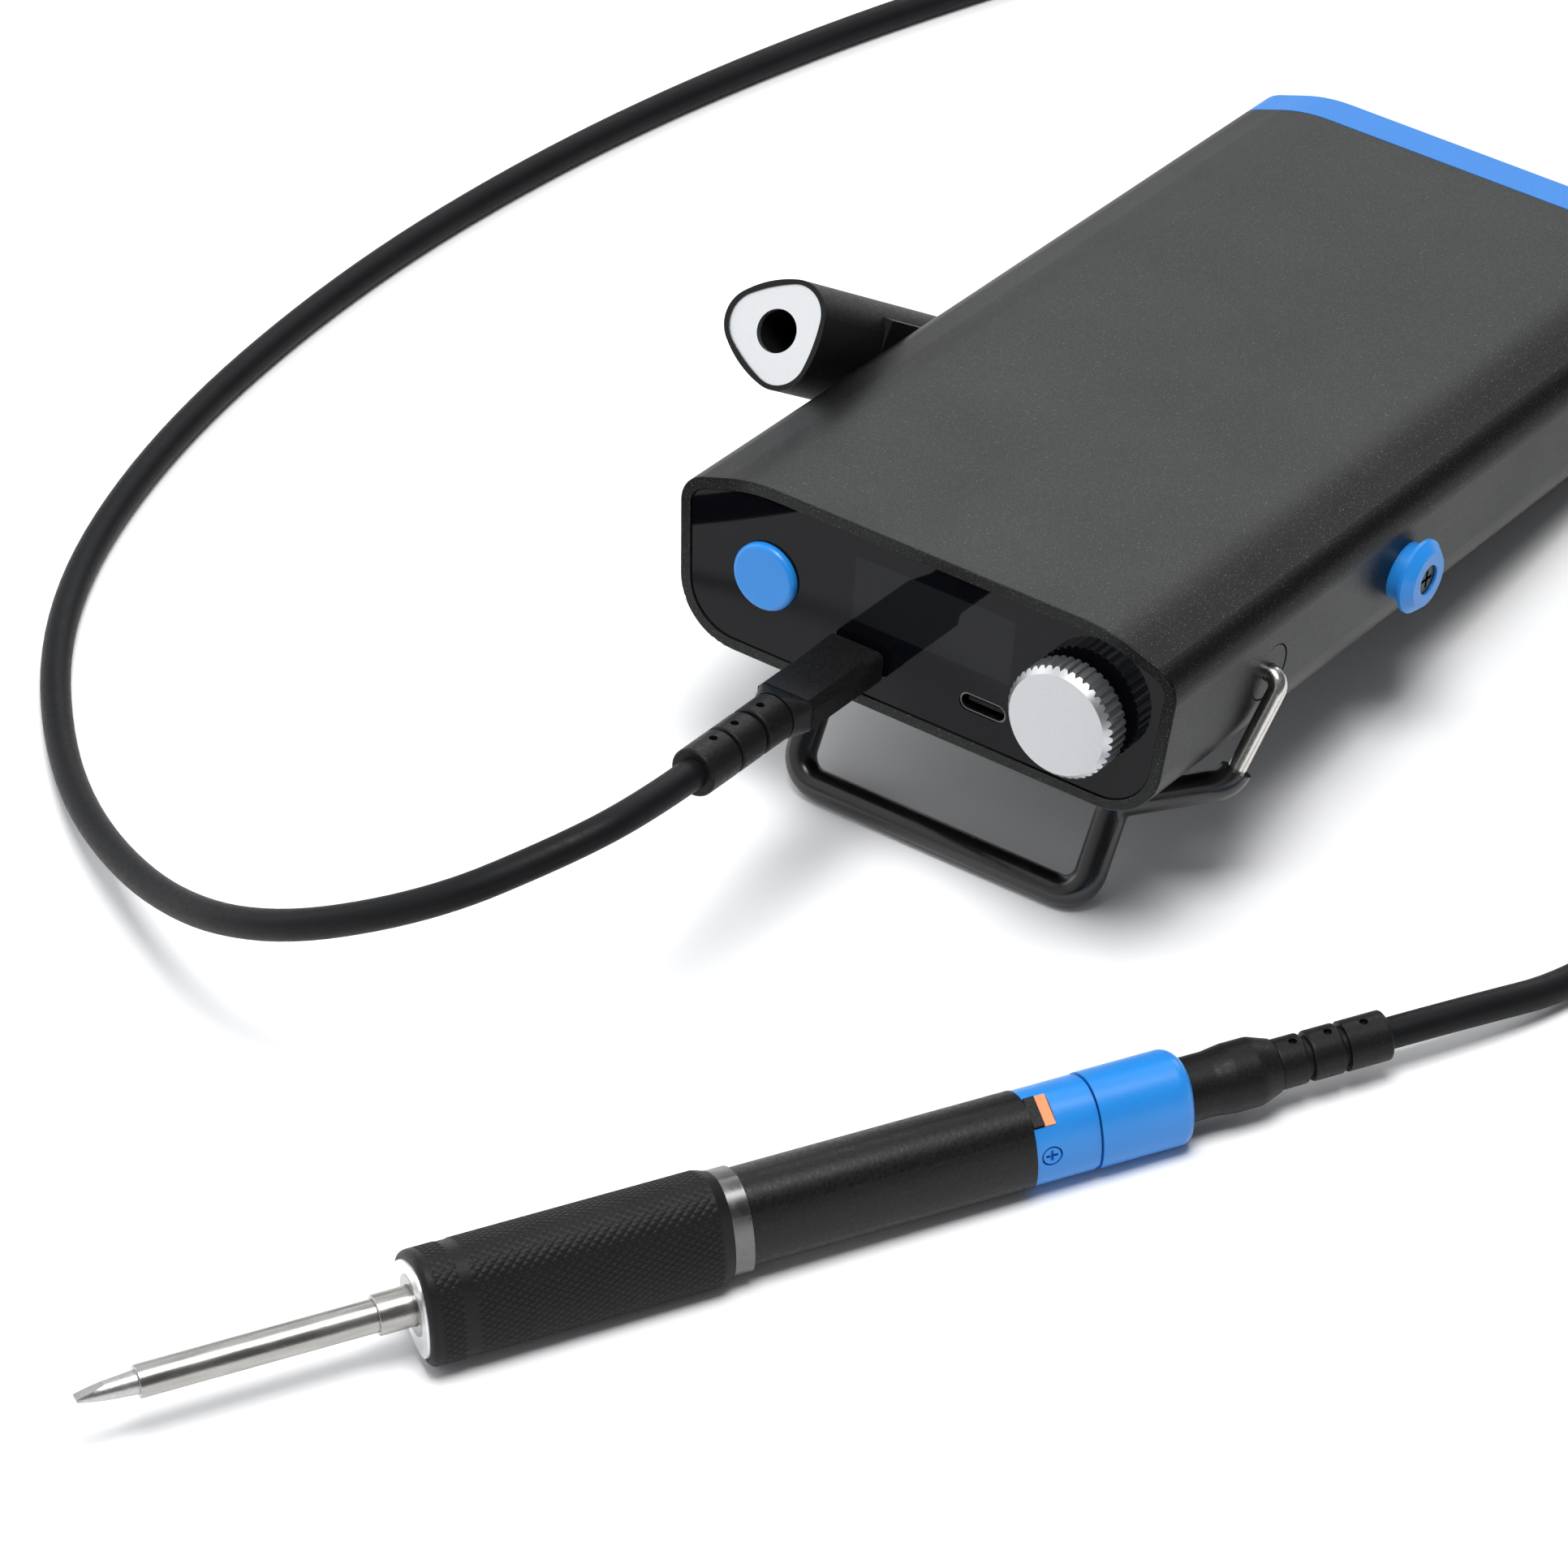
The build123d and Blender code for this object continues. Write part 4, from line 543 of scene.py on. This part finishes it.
def knurled_grip():
    """The CAD grip's own skin, cast ring by ring, with the knurl cut into it."""
    source = nodes["grip"]
    places = [source.matrix_world @ vertex.co for vertex in source.data.vertices]
    skin = BVHTree.FromPolygons(places, [tuple(face.vertices) for face in source.data.polygons])
    mesh = bmesh.new()

    def ring(along, outside):
        """One ring of vertices on the outer or the inner skin."""
        centre = IRON_ORIGIN + IRON_AXIS * along
        made = []
        for step in range(STEPS_AROUND):
            angle = 2 * math.pi * step / STEPS_AROUND
            out = IRON_SIDE * math.cos(angle) + IRON_UP * math.sin(angle)
            if outside:
                place = skin.ray_cast(centre + out * CAST_REACH, -out)[0] - out * sunk(along, angle)
            else:
                place = skin.ray_cast(centre, out)[0]
            made.append(mesh.verts.new(place))
        return made

    outer = [ring(along, outside=True) for along in grip_rows()]
    bore = (GRIP_REAR, GRIP_SEAT + SEAT_EDGE, GRIP_SEAT - SEAT_EDGE, GRIP_FRONT)
    rings = outer + [ring(along, outside=False) for along in bore]
    for row, (first, second) in enumerate(zip(rings, rings[1:] + rings[:1])):
        for step in range(STEPS_AROUND):
            after = (step + 1) % STEPS_AROUND
            face = mesh.faces.new((first[step], first[after], second[after], second[step]))
            face.smooth = row < len(outer) - 1
    bmesh.ops.recalc_face_normals(mesh, faces=mesh.faces)
    grip_mesh = bpy.data.meshes.new("knurled_grip")
    mesh.to_mesh(grip_mesh)
    mesh.free()
    grip_mesh.materials.append(GRIP)
    return put("knurled_grip", grip_mesh)


grip = knurled_grip()
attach(grip, "station")
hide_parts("grip")


# ---------------------------------------------------------------- cord

# Places and sizes in this section are in millimetres, up to the curve's own points
CORD_THICK = 5.2
CORD_DIAMETER = CORD_THICK * MM
FRONT_ROUTE = (
    (-15.01, -46.60, 47.57), (-15.01, -58.91, 49.75), (-19.91, -72.83, 49.0), (-34.91, -90.33, 42.3),
    (-63.91, -97.83, 28.5), (-98.91, -84.83, 11.5), (-133.91, -62.83, 2.6), (-161.91, -29.83, 2.6),
    (-174.91, 15.17, 2.6), (-175.91, 69.17, 2.6), (-166.91, 121.17, 2.6), (-149.91, 171.17, 2.6),
    (-125.91, 219.17, 2.6), (-99.91, 259.17, 2.6), (-59.91, 281.17, 2.6), (-13.91, 283.17, 2.6),
    (24.09, 277.17, 2.6),
)
REAR_ROUTE = (
    (69.29, 233.17, 7.8), (71.09, 213.17, 5.4), (81.09, 183.17, 2.6), (95.09, 148.17, 2.6),
    (106.09, 108.17, 2.6), (108.09, 65.17, 2.6), (101.59, 30.67, 2.9), (91.70, 10.90, 6.76),
    (84.05, -0.58, 7.02),
)
COIL_CENTRE_X = 34.09
COIL_CENTRE_Y = 242.17
COIL_OUTER = 35.2
COIL_INNER = 26.8
COIL_LAYER_TURNS = 1.625
COIL_STEPS = 26
COIL_START_ANGLE = 90
CLIMB_SHARE = 0.1


def coil_turns():
    """Control points of the coil's two layers, clockwise, inward on the floor and outward on top."""
    points = []
    for layer in range(2):
        for step in range(COIL_STEPS):
            share = (step + 0.5) / COIL_STEPS
            angle = math.radians(COIL_START_ANGLE - 360 * COIL_LAYER_TURNS * (layer + share))
            inward = share if layer == 0 else 1 - share
            radius = COIL_OUTER + (COIL_INNER - COIL_OUTER) * inward
            # The cord climbs half its thickness at the end of one layer and half at the start of the next
            climb = CORD_THICK / 2 * max(0, CLIMB_SHARE - (1 - inward)) / CLIMB_SHARE
            height = CORD_THICK / 2 + CORD_THICK * layer + (climb if layer == 0 else -climb)
            x = COIL_CENTRE_X + radius * math.cos(angle)
            y = COIL_CENTRE_Y + radius * math.sin(angle)
            points.append((x, y, height))
    return points


route = [*FRONT_ROUTE, *coil_turns(), *REAR_ROUTE]
curve = bpy.data.curves.new("cord", "CURVE")
curve.dimensions = "3D"
curve.bevel_depth = CORD_DIAMETER / 2
curve.bevel_resolution = 8
curve.resolution_u = 10
curve.use_fill_caps = True
spline = curve.splines.new("NURBS")
spline.points.add(len(route) - 1)
for point, place in zip(spline.points, route):
    point.co = (*(c * MM for c in place), 1)
spline.order_u = 3
spline.use_endpoint_u = True
curve.materials.append(CORD_BLACK)
cord = put("cord", curve)
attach(cord, "station")
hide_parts("cord_front", "cord_rear", "cord_coil")
